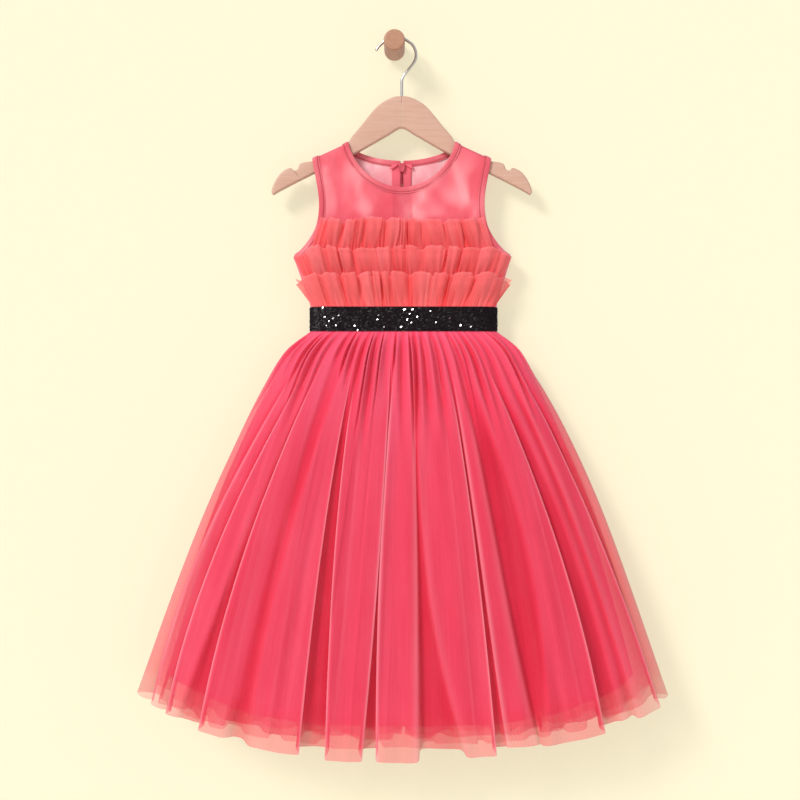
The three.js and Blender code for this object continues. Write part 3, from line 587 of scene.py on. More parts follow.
# painted highlights on the creases' ridges and painted shade in their troughs
bodiceFront = makeCloth("bodice_front_satin", grid, satin, "satin", wall=satinWall,
                        sheen=0.5 + 0.5 * np.clip(height, -1, 1), sheenMix=0.3)
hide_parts("bodice_front")
noteSheet(bodiceFront)
for name, sign in (("right", 1), ("left", -1)):
    places = np.r_[2 / np.pi * np.arcsin(zipGap / 112), np.linspace(0.02, 1, 64)]
    grid, height = bodiceGrid(places[::-1] if sign > 0 else -places, bodiceHeights, 1, bodiceCreases["back"])
    # painted highlights on the creases' ridges and painted shade in their troughs
    panel = makeCloth(f"bodice_back_{name}_satin", grid, satin, "satin", wall=satinWall,
                      sheen=0.5 + 0.6 * np.clip(height, -0.9, 0.9), sheenMix=0.35)
    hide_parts(f"bodice_back_{name}")
    noteSheet(panel)
print("yoke and bodice")

# ---- bindings: a folded strip whose section starts at its outer stitched edge, is puffed up to the
# fold at the cloth's own edge, and returns inside

binding = {"width": 7.6, "lift": 0.3, "wall": 0.5, "puff": 0.4, "stitchAt": 5.6}


def bindingSection(rows):
    # (reach from the fold, height over the cloth) along the outside: edge, stitch groove, puffed roll, fold
    reach = np.linspace(binding["width"], 0.0, rows)
    groove = np.exp(-((reach - binding["stitchAt"]) / 0.6) ** 2)
    roll = np.sin(np.pi * np.clip(reach / binding["stitchAt"], 0, 1)) ** 0.6
    height = binding["lift"] + binding["wall"] + binding["puff"] * roll - 0.35 * groove
    outside = np.stack([reach, height], axis=1)
    turnAngle = np.linspace(0, np.pi, 7)[1:-1]
    fold = np.stack([-0.6 * np.sin(turnAngle), -0.2 + 1.0 * np.cos(turnAngle)], axis=1)
    inside = np.stack([reach[::-3], -1.2 - 0.5 * (height - height.min())[::-3]], axis=1)
    return np.vstack([outside, fold, inside])


def neckStrip(section):
    # the neck's edge from the centre back over the left shoulder, the front, the right shoulder and back;
    # each point lies at the section's reach, square to the edge in the front view
    half = np.linspace(0.022, 1, 80)
    turnPlaces = np.r_[-half, np.linspace(-1, 1, 220)[1:-1], half[::-1]]
    side = np.r_[np.ones(80), -np.ones(218), np.ones(80)]
    bottom = np.where(side < 0, dress["frontNeck"], dress["backNeck"])
    share, step = dress["neckShare"], 0.002
    x, z = yokeTop(turnPlaces * share, bottom)
    x0, z0 = yokeTop(np.maximum(turnPlaces - step, -1) * share, bottom)
    x1, z1 = yokeTop(np.minimum(turnPlaces + step, 1) * share, bottom)
    length = np.hypot(x1 - x0, z1 - z0)
    outX, outZ = (z1 - z0) / length, -(x1 - x0) / length
    blend = smoothStep(0.75, 1, np.abs(x) / dress["neckHalf"])
    along = np.sign(x) / np.hypot(1, shoulderSlope)
    wayX = outX * (1 - blend) + along * blend
    wayZ = outZ * (1 - blend) + np.abs(along) * shoulderSlope * blend
    centre = curveAt(bodySections, 3, z)
    reach, lift = section[:, :1], section[:, 1:]
    stand = lift + 0.45 * blend
    px, pz = centre + x + wayX * reach, z + wayZ * reach + stand * blend
    return bodyPoint(px, pz, side, stand)


neckSection = bindingSection(30)
neckGrid = neckStrip(neckSection)
groove = np.exp(-((neckSection[:, 0] - binding["stitchAt"]) / 0.8) ** 2)[:, None]
# painted shade in the stitch groove and painted highlights that come and go along the strip
neckPiece = makeCloth("neck_binding_satin", neckGrid, biasBinding, "binding",
                      sheen=0.62 - 0.62 * groove + 0.2 * np.sin(np.linspace(0, 23, neckGrid.shape[1])),
                      sheenMix=0.55)
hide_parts("neck_binding")
noteSheet(neckPiece)


def armholeStrip(sign, section):
    # the armhole's edge from the front underarm over the shoulder to the back underarm; each point lies
    # inwards of it at the section's reach
    low, high = dress["underarm"] + 1.5, dress["shoulderEnd"]
    nearTop = 5 * np.sin(np.linspace(0, np.pi / 2, 12))[1:-1]
    heights = np.r_[np.linspace(low, high - 5, 90), high - 5 + nearTop]
    z = np.r_[heights, high, heights[::-1]]
    side = np.r_[-np.ones(len(heights)), 0, np.ones(len(heights))]
    if sign > 0:
        z, side = z[::-1], side[::-1]
    centre, half = curveAt(bodySections, 3, z), curveAt(bodySections, 1, z)
    slope = curveAt(bodySections, 1, z + 1) - half
    length = np.hypot(1, slope)
    rise = smoothStep(high - 12, high - 3, z)
    lowPart = 1 - smoothStep(dress["underarm"] + 12, dress["underarm"] + 40, z)
    reach, lift = section[:, :1], section[:, 1:]
    stand = lift + 0.45 * rise + 0.5 * lowPart
    x = centre + sign * (half - reach / length)
    level = z + rise * (stand + shoulderLine(half - reach) - high) + reach * slope / length * (1 - rise)
    grid = bodyPoint(x, level, np.where(side == 0, -1, side), stand)
    top = side == 0
    grid[:, top, 1] = dress["hangY"]
    return grid


for name, sign in (("left", -1), ("right", 1)):
    grid = armholeStrip(sign, neckSection)
    # painted shade in the stitch groove and painted highlights that come and go along the strip
    strip = makeCloth(f"armhole_binding_{name}_satin", grid, biasBinding, "binding",
                      sheen=0.62 - 0.62 * groove + 0.2 * np.sin(np.linspace(0, 19, grid.shape[1])),
                      sheenMix=0.55)
    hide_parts(f"armhole_binding_{name}")
    noteSheet(strip)
print("bindings")


# ---- ruffle tiers: gathered strips sewn along their lower edges, standing up and leaning forward

ruffle = {
    "plies": 2, "columns": 760, "rows": 20,
    "depth": 3.6,              # how far a lobe stands in front of the recess beside it
    "shear": 0.75,             # how far lobes lap sideways over their recesses
    "plyGap": 2.2, "secondPly": 0.93,
    "uneven": 0.58, "round": 4.5, "seed": 11,
}
# seam height, height, half width at the seam, half width at the top, lobes, lean at the top, then how far
# the two ends are dropped and moved out
ruffleTiers = {
    "ruffle_tier_1": (-249, 39, 111, 98, 11, 9, 0, 0),
    "ruffle_tier_2": (-283, 39, 118, 131, 12, 9, 10, 0),
    "ruffle_tier_3": (-315.4, 39.5, 110, 127, 12, 10, 7, 3.5),
}


def unevenTurns(at, count, unevenness, rng):
    # a phase that grows by one over each of count folds of uneven width, smoothed over a third of a fold
    widths = 1 + unevenness * rng.uniform(-1, 1, count)
    edges = np.r_[0, np.cumsum(widths)] / widths.sum()
    fine = np.linspace(0, 1, 60 * count + 1)
    phase = np.interp(fine, edges, np.arange(count + 1))
    kernel = np.hanning(23)
    kernel /= kernel.sum()
    slopes = np.convolve(np.pad(np.diff(phase), 11, mode="wrap"), kernel, mode="valid")
    phase = np.r_[0, np.cumsum(slopes)]
    return np.interp(at, fine, phase * count / phase[-1])


def perFold(phase, values):
    # a value for each fold, eased from one fold's middle to the next
    count = len(values)
    k = np.floor(phase - 0.5)
    t = smoothStep(0, 1, phase - 0.5 - k)
    k = k.astype(int)
    return values[k % count] * (1 - t) + values[(k + 1) % count] * t


def ruffleGrid(tier, ply, rng):
    # point = body's front + lean*share^1.3 + depth*lobe(phase), where a lobe is flat in its middle and
    # drops to a narrow recess: lobe = 1 - 2*(sin^2(pi*phase))^p; lobes shift sideways by shear*lobe, their
    # tops are rounded down towards each recess, and the strip's two ends are dropped and lie close
    seam, height, seamHalf, topHalf, lobes, lean, endDrop, endOut = tier
    u = np.linspace(0, 1, ruffle["columns"])
    share = np.linspace(0, 1, ruffle["rows"])[:, None] ** 0.9
    sway = 0.10 * share * np.sin(2 * np.pi * (1.7 * u + 0.5 * rng.uniform()) + 3 * ply)
    phase = unevenTurns(u, lobes, ruffle["uneven"], rng) + sway + (0.5 if ply else 0.0)
    power = perFold(phase, rng.uniform(2.4, 7.0, lobes))
    size = perFold(phase, rng.uniform(0.6, 1.3, lobes))
    lap = perFold(phase, rng.choice([-1.0, 1.0], lobes) * rng.uniform(0.3, 1.0, lobes))
    tall = perFold(phase, rng.uniform(-1, 1, lobes))
    recess = (0.5 - 0.5 * np.cos(2 * np.pi * phase)) ** power
    lobe = 1 - 2 * recess
    gathers = np.sin(2 * np.pi * (3 * phase + 0.3 * np.sin(4 * np.pi * u)))
    minor = np.sin(2 * np.pi * (2.3 * phase + 0.2 * np.sin(6 * np.pi * u)) + 0.8 * share)
    end = smoothStep(0.80, 1, np.abs(2 * u - 1))
    calm = 1 - 0.8 * end
    spread = smoothStep(0.0, 0.75, share)
    reach = ruffle["secondPly"] if ply else 1.0
    out = (0.35 + (ruffle["depth"] - 0.35) * spread) * size * lobe * calm
    out = out + 0.55 * gathers * (1 - spread) + 0.55 * minor * spread
    fromCrest = np.abs(phase - np.round(phase))
    rounded = ruffle["round"] * smoothStep(0.22, 0.5, fromCrest) * (1 - 0.5 * end)
    z = seam + height * reach * share + (2.4 * tall - rounded + 0.4 * minor) * share**2
    z = z - (endDrop * smoothStep(0.80, 1, np.abs(2 * u - 1)) ** 1.3) * share
    half = seamHalf + (topHalf - seamHalf) * share
    centre = curveAt(bodySections, 3, seam)
    x = centre + (half + endOut * end * share) * (2 * u - 1)
    base = dress["hangY"] - bodyDepth(x, z) - 1.5 - ruffle["plyGap"] * (1 - ply) * (0.15 + 0.85 * spread)
    y = base - lean * (1 - 0.72 * end) * share**1.3 - out - 0.3
    x = x + ruffle["shear"] * lap * (out - 0.35) * (1 - 0.25 * share) * calm
    x = x + 0.8 * np.sin(2 * np.pi * phase) * spread
    return np.stack(np.broadcast_arrays(x, y, z), axis=-1), recess, lobe, spread, share


for index, (name, tier) in enumerate(ruffleTiers.items()):
    for ply in range(ruffle["plies"]):
        rng = np.random.default_rng(ruffle["seed"] + 10 * index + ply)
        grid, recess, lobe, spread, share = ruffleGrid(tier, ply, rng)
        rim = smoothStep(0.94, 0.97, share)
        rows, cols = grid.shape[:2]
        tinge = np.sin(np.linspace(0, 31, cols) + 2.1 * index) * np.sin(np.linspace(0, 9, cols) + index)
        # painted shade in the net's colour: darker in each lobe's recess and on the back ply, which lies
        # behind the front one; also darker towards the seam, paler along the top rim, and varied by tinge
        depth = 0.36 + 0.40 * recess + 0.22 * (1 - share) ** 1.5 - 0.30 * rim + 0.2 * ply + 0.22 * tinge
        depth = np.clip(depth, 0, 1)
        cover = np.clip(0.60 + 0.24 * (1 - share) ** 1.5 + 0.16 * rim + 0.20 * recess, 0, 0.97)
        piece = makeCloth(f"{name}_ply_{ply + 1}", grid, ruffleTulle, "ruffle_tulle", depth=depth, edge=0.0,
                          patchy=0.3, cover=cover)
        if ply == 0:
            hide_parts(name)
        noteSheet(piece)
print("ruffles")

# ---- belt: a woven band under rows of small round sequins that overlap downwards

belt = {"top": -316.0, "bottom": -344.7, "half": 111.8, "depth": 11.0, "centre": 11.0, "over": 0.7,
        "sequin": 3.1, "stepAlong": 2.25, "stepUp": 1.75, "dish": 0.25, "seed": 5}


def beltPoint(turn, z, out):
    # the waist's flattened round section, |across|^12 at the sides, from the centre back over the left side
    across = np.cos(turn)
    side = -np.sign(np.sin(turn))
    stand = (belt["depth"] + out) * np.sqrt(np.maximum(1 - np.abs(across) ** 12, 0))
    x = belt["centre"] + (belt["half"] + out) * across
    return np.stack(np.broadcast_arrays(x, dress["hangY"] + side * stand, z), axis=-1)


fineTurn = np.linspace(-np.pi / 2, -np.pi / 2 - 2 * np.pi, 4001)
fineLine = beltPoint(fineTurn, 0.0, belt["over"])[:, :2]
fineFar = np.r_[0, np.cumsum(np.linalg.norm(np.diff(fineLine, axis=0), axis=1))]
beltAround = fineFar[-1]


def beltAt(far, z, out):
    # a point of the belt by its way round from the centre back
    return beltPoint(np.interp(far, fineFar, fineTurn), z, out)


bandFar = np.linspace(1.1, beltAround - 1.1, 360)
bandProfile = np.array([(belt["bottom"], 0.7), (belt["bottom"] + 0.2, 1.3),
                        (belt["top"] - 0.2, 1.3), (belt["top"], 0.7)])
bandGrid = np.stack([beltAt(bandFar, z, out) for z, out in bandProfile])
band = makeCloth("belt_band", bandGrid, wovenBand, "belt_sequins")
noteSheet(band)

rowZ = np.arange(belt["bottom"] + 1.2, belt["top"] - 0.3, belt["stepUp"])
rowFar = np.arange(2.4, beltAround - 2.4, belt["stepAlong"])
rng = np.random.default_rng(belt["seed"])
far, z = np.meshgrid(rowFar, rowZ)
far = far + (np.arange(len(rowZ)) % 2)[:, None] * belt["stepAlong"] / 2
far = (far + rng.uniform(-0.25, 0.25, far.shape)).ravel()
z = (z + rng.uniform(-0.15, 0.15, z.shape)).ravel()
centres = beltAt(far, z, 1.75)
way = beltAt(far + 0.5, z, 1.75) - beltAt(far - 0.5, z, 1.75)
way /= np.linalg.norm(way, axis=1, keepdims=True)
facing = np.cross(way, np.array([0.0, 0.0, 1.0]))
facing += 0.16 * np.array([0, 0, 1.0]) + rng.normal(0, 0.13, facing.shape)
facing /= np.linalg.norm(facing, axis=1, keepdims=True)

# sequins that send the window's light to the front, as seen at these places of the belt's front (x, z); they
# are also painted silver, as painted glints
glints = np.array([(-83.6, -328.1), (-78.7, -332.9), (-82.4, -338.9), (-73.9, -330.5), (-70.3, -338.9),
                   (-87.8, -317.3), (-67.9, -325.7), (-48.7, -338.2), (-45.4, -343.2), (-18.9, -326.4),
                   (-19.8, -331.7), (-11.8, -339.6), (6.7, -339.6), (11.5, -319.7), (17.5, -324.5),
                   (22.3, -318.5), (15.1, -331.7), (27.2, -328.1), (19.9, -335.3), (42, -320.2),
                   (48.8, -334.1), (67.6, -329.6), (80.1, -338.7), (90.9, -339.6)])
toGlint = np.hypot(centres[:, None, 0] - glints[None, :, 0], centres[:, None, 2] - glints[None, :, 1])
onFront = centres[:, 1] < dress["hangY"]
bright = np.zeros(len(centres), bool)
bright[np.where(onFront, toGlint.T, 1e9).argmin(axis=1)] = True
halfway = sunFrom + np.array([0, -1.0, 0])
halfway /= np.linalg.norm(halfway)
facing[bright] = halfway + rng.normal(0, 0.09, (bright.sum(), 3))
facing /= np.linalg.norm(facing, axis=1, keepdims=True)
axisA = np.cross(np.array([0.0, 0.0, 1.0]), facing)
axisA /= np.linalg.norm(axisA, axis=1, keepdims=True)
axisB = np.cross(facing, axisA)
axes = np.stack([axisA, axisB, facing], axis=1)
axes[bright] *= rng.uniform(0.45, 1.1, (bright.sum(), 3, 1))
ringTurn = np.linspace(0, 2 * np.pi, 8, endpoint=False)
disc = np.vstack([np.stack([np.cos(ringTurn), np.sin(ringTurn), 0 * ringTurn], axis=1) * belt["sequin"] / 2,
                  [0, 0, -belt["dish"]]])
discFaces = np.stack([np.full(8, 8), np.arange(8), (np.arange(8) + 1) % 8], axis=1)
sequins = placeCopies("belt_sequins", disc, discFaces, centres[~bright], axes[~bright], blackSequins,
                      "belt_sequins")
# the glinting sequins, tilted to the light and painted silver
placeCopies("belt_sequins_painted_glints", disc, discFaces, centres[bright] + 0.3 * facing[bright],
            axes[bright], glintSequinsPaintedSilver, "belt_sequins")
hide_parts("belt")
print("belt with", len(centres), "sequins")


# ---- skirt: two tulle layers over a satin underskirt, all gathered into the waist seam

# share of the way down, half width, depth in front, depth behind, centre y, squareness
skirtSections = np.array([
    (0, 112.6, 11, 11, -22, 12), (0.033, 130, 17, 12.5, -23.5, 9), (0.062, 142, 20.5, 13.5, -25, 7),
    (0.12, 158, 24, 15.5, -27.5, 5), (0.26, 191, 30, 20, -34, 3.6), (0.47, 232, 37, 29, -45, 3),
    (0.71, 271, 44, 39, -55, 2.7), (1, 313, 50, 49, -66, 2.5),
], float)
skirt = {"axisX": 11.0, "hem": -840.0, "hemLift": 62.0, "hemRound": 3.2}
# the front's panels as they hang: left edge across at the top, middle and hem (-1 to 1), right edge at the
# same heights, how far the panel stands out, how crisply its left and right edges lap, and how far it hangs
frontPanels = np.array([
    (-1.02, -1.02, -1.02, -0.86, -0.955, -0.962, 0.5, 0.0, 0.1, -3),
    (-0.845, -0.942, -0.945, -0.775, -0.885, -0.892, 0.7, 0.8, 0.2, -7),
    (-0.762, -0.868, -0.878, -0.69, -0.76, -0.835, 0.9, 1.0, 0.3, -7),
    (-0.665, -0.741, -0.75, -0.575, -0.61, -0.65, 1.1, 1.0, 0.0, -5),
    (-0.49, -0.57, -0.585, -0.40, -0.40, -0.392, 1.2, 0.2, 1.0, -2),
    (-0.37, -0.332, -0.283, -0.105, -0.126, -0.162, 1.2, 1.0, 1.0, 2.5),
    (-0.08, -0.105, -0.099, 0.078, 0.065, 0.058, 1.0, 0.9, 0.6, 4),
    (0.105, 0.095, 0.225, 0.345, 0.338, 0.331, 1.2, 0.4, 1.0, -1),
    (0.37, 0.365, 0.38, 0.45, 0.455, 0.50, 0.8, 0.8, 0.5, -9),
    (0.50, 0.585, 0.515, 0.665, 0.73, 0.732, 1.25, 0.2, 1.0, -5),
    (0.70, 0.79, 0.80, 0.77, 0.825, 0.845, 0.5, 0.3, 0.0, -6),
    (0.80, 0.848, 0.866, 0.89, 0.93, 0.952, 0.8, 0.5, 1.0, -1),
    (0.92, 0.96, 0.975, 1.02, 1.02, 1.02, 0.4, 0.2, 0.0, 1),
])


def skirtRing(share, inset, turns):
    # points at even steps round a section x = axis + half*cos a,
    # y = centre +- depth*(1 - |cos a|^square)^0.5, from the centre back over the left side,
    # with the way along the cloth at each
    half = curveAt(skirtSections, 1, share) - inset
    front = curveAt(skirtSections, 2, share) - inset
    back = curveAt(skirtSections, 3, share) - inset
    angle = np.pi / 2 + 2 * np.pi * np.linspace(0, 1, 2881)
    # finer steps where the section turns sharply at its sides
    angle = angle - 0.42 * np.sin(2 * angle)
    across = np.cos(angle)
    stand = np.sqrt(np.maximum(1 - np.abs(across) ** curveAt(skirtSections, 5, share), 0))
    y = curveAt(skirtSections, 4, share) + np.where(np.sin(angle) > 0, back, -front) * stand
    ring = np.stack([skirt["axisX"] + half * across, y], axis=1)
    far = np.r_[0, np.cumsum(np.linalg.norm(np.diff(ring, axis=0), axis=1))]
    at = far[-1] * turns
    x = np.interp(at, far, ring[:, 0])
    y = np.interp(at, far, ring[:, 1])
    wayX, wayY = np.gradient(x), np.gradient(y)
    window = np.hanning(9) / np.hanning(9).sum()
    wayX = np.convolve(np.pad(wayX, 4, mode="edge"), window, mode="valid")
    wayY = np.convolve(np.pad(wayY, 4, mode="edge"), window, mode="valid")
    length = np.hypot(wayX, wayY)
    return x, y, wayX / length, wayY / length, half


tulleLayers = {
    "tulle_outer": {
        "columns": (300, 900), "rows": 62, "inset": -0.3, "insetHem": 1.0, "end": 1.0,
        "fold": 2.6, "foldHem": 9.5, "gathers": 64, "gather": 1.5, "lap": 1.0, "seed": 4,
        "cover": 0.56, "flat": (1.6, 0.5),
    },
    "tulle_inner": {
        "columns": (260, 560), "rows": 50, "inset": 1.6, "insetHem": 16.0, "end": 0.985,
        "fold": 1.2, "foldHem": 5.5, "gathers": 54, "gather": 0.6, "lap": 0.4, "seed": 9,
        "cover": 0.42, "flat": (1.32, 0.49),
    },
}


def panelTable(layer, rng):
    # all the panels round a layer by their places, which run from -2 at the centre back over the left side
    # (-1), the front and the right side (1) to 2; hidden panels are like the front's, unevenly spaced
    def uneven(low, high, count):
        steps = np.r_[0, np.cumsum(1 + 0.45 * rng.uniform(-1, 1, count))]
        edges = low + (high - low) * steps / steps[-1]
        gap = (high - low) / count * rng.uniform(0.08, 0.2, (count, 1))
        sway = 0.012 * rng.uniform(-1, 1, (count, 3)) * (1, 0.5, 1)
        return np.column_stack([edges[:-1, None] + gap + sway, edges[1:, None] - gap + 0.6 * sway,
                                rng.uniform(0.6, 1.2, count), rng.uniform(0.1, 1, count),
                                rng.uniform(0.1, 1, count), rng.uniform(-6, 3, count)])

    front = frontPanels if layer is tulleLayers["tulle_outer"] else uneven(-1, 1, 12)
    return np.vstack([uneven(-2, -1.04, 6), front, uneven(1.04, 2, 6)])


def panelShape(place, share, half, panels):
    # a panel is a plateau between its two edges, 1 inside and 0 outside: the step at an edge is
    # 0.5 + 0.5*tanh(1.5*t), with t the way past the edge in flank widths. The lean pushes the cloth on both
    # sides of a crisp edge over each other, and the edge line, a painted highlight, runs just inside it; a
    # painted shadow lies in the recess beside a crisp edge
    at = np.clip(share, 0.02, 1)
    a, b, c = 0.1, 0.5, 1.0
    ways = np.array([(at - b) * (at - c) / ((a - b) * (a - c)), (at - a) * (at - c) / ((b - a) * (b - c)),
                     (at - a) * (at - b) / ((c - a) * (c - b))])
    inside, lift, drop, lean, line, paintedRecessShadow = np.zeros((6, len(place)))
    for panel in panels:
        plateau = 1.0
        for sign, edge, crisp in ((1, panel[:3] @ ways, panel[7]), (-1, panel[3:6] @ ways, panel[8])):
            flank = 0.9 + 0.9 * share + 8 * (1 - crisp) * (0.3 + 0.7 * share)
            t = (place - edge) * half / flank
            plateau = plateau * (0.5 + 0.5 * np.tanh(1.5 * sign * t))
            lean -= crisp * np.tanh(1.5 * t) * np.exp(-(t / 5) ** 2)
            line += crisp**2 * np.exp(-((sign * t - 1.1) / 0.9) ** 2)
            paintedRecessShadow += crisp * np.exp(-((sign * t + 3.5) / 2.5) ** 2)
        inside += plateau
        lift += panel[6] * plateau
        drop += panel[9] * plateau
    inside = np.minimum(inside, 1)
    return inside, lift, drop, lean, np.minimum(line, 1), np.minimum(paintedRecessShadow, 1) * (1 - inside)


def tulleGrid(layer):
    # ring point + out*normal + lean*way. Out is high on the panels and low in the recesses between them,
    # with broad soft waves and fine gathers, each of which fades out somewhere down the skirt
    rng = np.random.default_rng(layer["seed"])
    behind, ahead = layer["columns"]
    u = np.r_[np.linspace(0, 0.25, behind), np.linspace(0.25, 0.75, ahead + 1)[1:],
              np.linspace(0.75, 1, behind)[1:]]
    shares = np.linspace(0, 1, layer["rows"]) ** 1.35 * layer["end"]
    panels = panelTable(layer, rng)
    finePhase = unevenTurns(u, layer["gathers"], 0.8, rng)
    fineSize = perFold(finePhase, rng.uniform(0.1, 1.6, layer["gathers"]))
    fineEnd = perFold(finePhase, rng.uniform(0.07, 0.36, layer["gathers"]))
    wobble = rng.uniform(0, 2 * np.pi, 4)
    rows, layersAndShadeRows, lines, sides = [], [], [], []
    for share in shares:
        inset = layer["inset"] + (layer["insetHem"] - layer["inset"]) * share
        x, y, wayX, wayY, half = skirtRing(share, inset, u)
        across = (x - skirt["axisX"]) / half
        onFront = y < curveAt(skirtSections, 4, share)
        place = np.where(onFront, across, np.where(u < 0.5, -2 - across, 2 - across))
        inside, lift, drop, lean, line, paintedRecessShadow = panelShape(place, share, half, panels)
        grow = smoothStep(0.0, 0.30, share)
        main = (layer["fold"] + (layer["foldHem"] - layer["fold"]) * share) * (0.3 + 0.7 * grow)
        fade = 1 - smoothStep(0.3 * fineEnd, fineEnd, share)
        settle = smoothStep(-0.004, 0.02, share)
        fine = layer["gather"] * (0.5 + 2.0 * smoothStep(0, 0.05, share)) * fineSize * fade
        soft = 0.5 * np.sin(2 * np.pi * (0.75 * finePhase + 1.2 * share) + wobble[0])
        broad = np.sin(2 * np.pi * (5.25 * place + 0.5 * share) + wobble[1])
        broad = broad + 0.8 * np.sin(2 * np.pi * (9.5 * place - 0.6 * share) + wobble[2])
        relief = main * (0.62 * lift - 0.55 * (1 - inside)) + fine * np.cos(2 * np.pi * finePhase)
        out = settle * (relief + (soft + 1.3 * broad * share) * smoothStep(0.12, 0.4, share))
        side = layer["lap"] * lean * (0.8 + 4.0 * share) * smoothStep(0.02, 0.2, share)
        px = x + wayY * out + wayX * side
        py = y - wayX * out + wayY * side
        z = dress["waist"] + (skirt["hem"] + skirt["hemLift"] * np.abs(across) ** skirt["hemRound"]
                              - dress["waist"]) * share
        z = z - share**3 * (drop - 9 * (1 - inside) + 0.7 * np.sin(2 * np.pi * 4.5 * place + wobble[3]))
        rows.append(np.stack([px, py, z], axis=-1))
        # the net is painted paler along a lapped edge, a painted highlight where the fold's edge catches the
        # light (its cover also rises there, where it lies double), and painted darker in the recess beside
        # it, a painted shadow; the recesses are also darker where fewer layers lie
        gathered = fade * np.minimum(fineSize, 1) * (0.5 - 0.5 * np.cos(2 * np.pi * finePhase)) ** 2
        # painted shade: the front is darker towards its right side, as if the light came from the left
        paintedSideShade = 0.16 * onFront * smoothStep(-0.3, 0.9, across) * smoothStep(0.05, 0.3, share)
        layersAndShade = (0.8 * (1 - inside) + 0.12 * paintedRecessShadow) * (0.2 + 0.8 * grow) + 0.6 * gathered + paintedSideShade
        layersAndShadeRows.append(np.clip(layersAndShade - 0.3 * line * grow + 0.07 * broad * grow, -0.5, 1))
        lines.append(line * smoothStep(0.06, 0.3, share))
        sides.append(smoothStep(0.84, 0.97, np.abs(across)) * share)
    # rows run from the hem up, so that faces point out of the skirt
    return [np.array(each)[::-1] for each in (rows, layersAndShadeRows, lines, sides)] + [shares[::-1, None]]


for name, layer in tulleLayers.items():
    grid, layersAndShade, line, side, share = tulleGrid(layer)
    top = np.exp(-share / 0.10)
    # painted shade and highlight in the net's colour: darker in the recesses, in the painted shadow and on
    # the right side, paler on the painted edge highlights; also darker from the waist down and in the hem
    # band
    depth = 0.18 + 0.72 * layersAndShade + 0.22 * smoothStep(0.08, 0.4, share) + 0.32 * smoothStep(0.88, 0.96, share)
    depth = np.clip(depth, 0, 1)
    cover = layer["cover"] + 0.30 * top - 0.08 * smoothStep(0.92, 0.96, share) + 0.16 * layersAndShade
    cover = cover + 0.2 * line - 0.18 * side
    piece = makeCloth(f"{name}_net", grid, skirtTulle, "skirt_tulle", depth=depth, patchy=0.22,
                      cover=np.clip(cover, 0.25, 0.95), edge=0.42 * line)
    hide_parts(name)
    noteSheet(piece)
print("tulle")

underskirt = {"columns": 620, "rows": 46, "inset": 4.2, "insetHem": 30.0, "end": 0.94, "folds": 15,
              "fold": 0.25, "foldHem": 4.6, "seed": 21, "hemBand": 22.0}


def underskirtGrid():
    # ring point + out*normal, with broad soft folds out = size*cos(phase) that grow to the hem
    rng = np.random.default_rng(underskirt["seed"])
    u = np.linspace(0, 1, underskirt["columns"])
    shares = np.linspace(0, 1, underskirt["rows"]) * underskirt["end"]
    phase = unevenTurns(u, underskirt["folds"], 0.4, rng)
    size = perFold(phase, rng.uniform(0.6, 1.25, underskirt["folds"]))
    rows, creases = [], []
    for share in shares:
        inset = underskirt["inset"] + (underskirt["insetHem"] - underskirt["inset"]) * share
        x, y, wayX, wayY, half = skirtRing(share, inset, u)
        across = (x - skirt["axisX"]) / half
        wave = np.cos(2 * np.pi * phase)
        out = (underskirt["fold"] + (underskirt["foldHem"] - underskirt["fold"]) * share) * size * wave
        z = dress["waist"] + (skirt["hem"] + skirt["hemLift"] * np.abs(across) ** skirt["hemRound"]
                              - dress["waist"]) * share
        rows.append(np.stack([x + wayY * out, y - wayX * out, z], axis=-1))
        creases.append(wave * size)
    return np.array(rows)[::-1], np.array(creases)[::-1], shares[::-1, None]


grid, crease, share = underskirtGrid()
# painted highlights on the folds' crests and painted shade in their troughs, growing towards the hem
underPiece = makeCloth("underskirt_satin", grid, satin, "satin", wall=0.4,
                       sheen=np.clip(0.5 + 0.4 * crease * share, 0, 1), sheenMix=0.5)
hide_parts("underskirt")
noteSheet(underPiece)
print("underskirt")


# ---- stitches, each a small spindle of thread

thread = {"pitch": 3.0, "length": 2.3, "thick": 0.5}
spindleTurn = np.linspace(0, 2 * np.pi, 5)[:-1]
spindleRing = np.stack([0 * spindleTurn, np.cos(spindleTurn), np.sin(spindleTurn)], axis=1) / 2
spindle = np.vstack([[-0.5, 0, 0], spindleRing + [-0.3, 0, 0], spindleRing + [0.3, 0, 0], [0.5, 0, 0]])
sideA = np.arange(4)
sideB = (sideA + 1) % 4
spindleFaces = np.vstack([
    np.stack([0 * sideA, 1 + sideB, 1 + sideA], axis=1), np.stack([1 + sideA, 1 + sideB, 5 + sideB], axis=1),
    np.stack([1 + sideA, 5 + sideB, 5 + sideA], axis=1),
    np.stack([5 + sideA, 5 + sideB, 0 * sideA + 9], axis=1)])


def stitchPlaces(path):
    # centres and axes of stitches at even steps along a line on the cloth
    length = np.linalg.norm(np.diff(path, axis=0), axis=1).sum()
    points = evenSteps(path, 4 * max(int(length / thread["pitch"]), 2) + 1)
    centres, before, after = points[2:-1:4], points[1:-2:4], points[3::4]
    way = after - before
    way /= np.linalg.norm(way, axis=1, keepdims=True)
    side = np.cross(way, [0.0, 1.0, 0.0])
    side /= np.maximum(np.linalg.norm(side, axis=1, keepdims=True), 1e-6)
    up = np.cross(way, side)
    axes = np.stack([way * thread["length"], side * thread["thick"], up * thread["thick"]], axis=1)
    return centres, axes


def addStitches(name, paths, material, slot):
    places = [stitchPlaces(path) for path in paths]
    return placeCopies(name, spindle, spindleFaces, np.vstack([p[0] for p in places]),
                       np.vstack([p[1] for p in places]), material, slot)


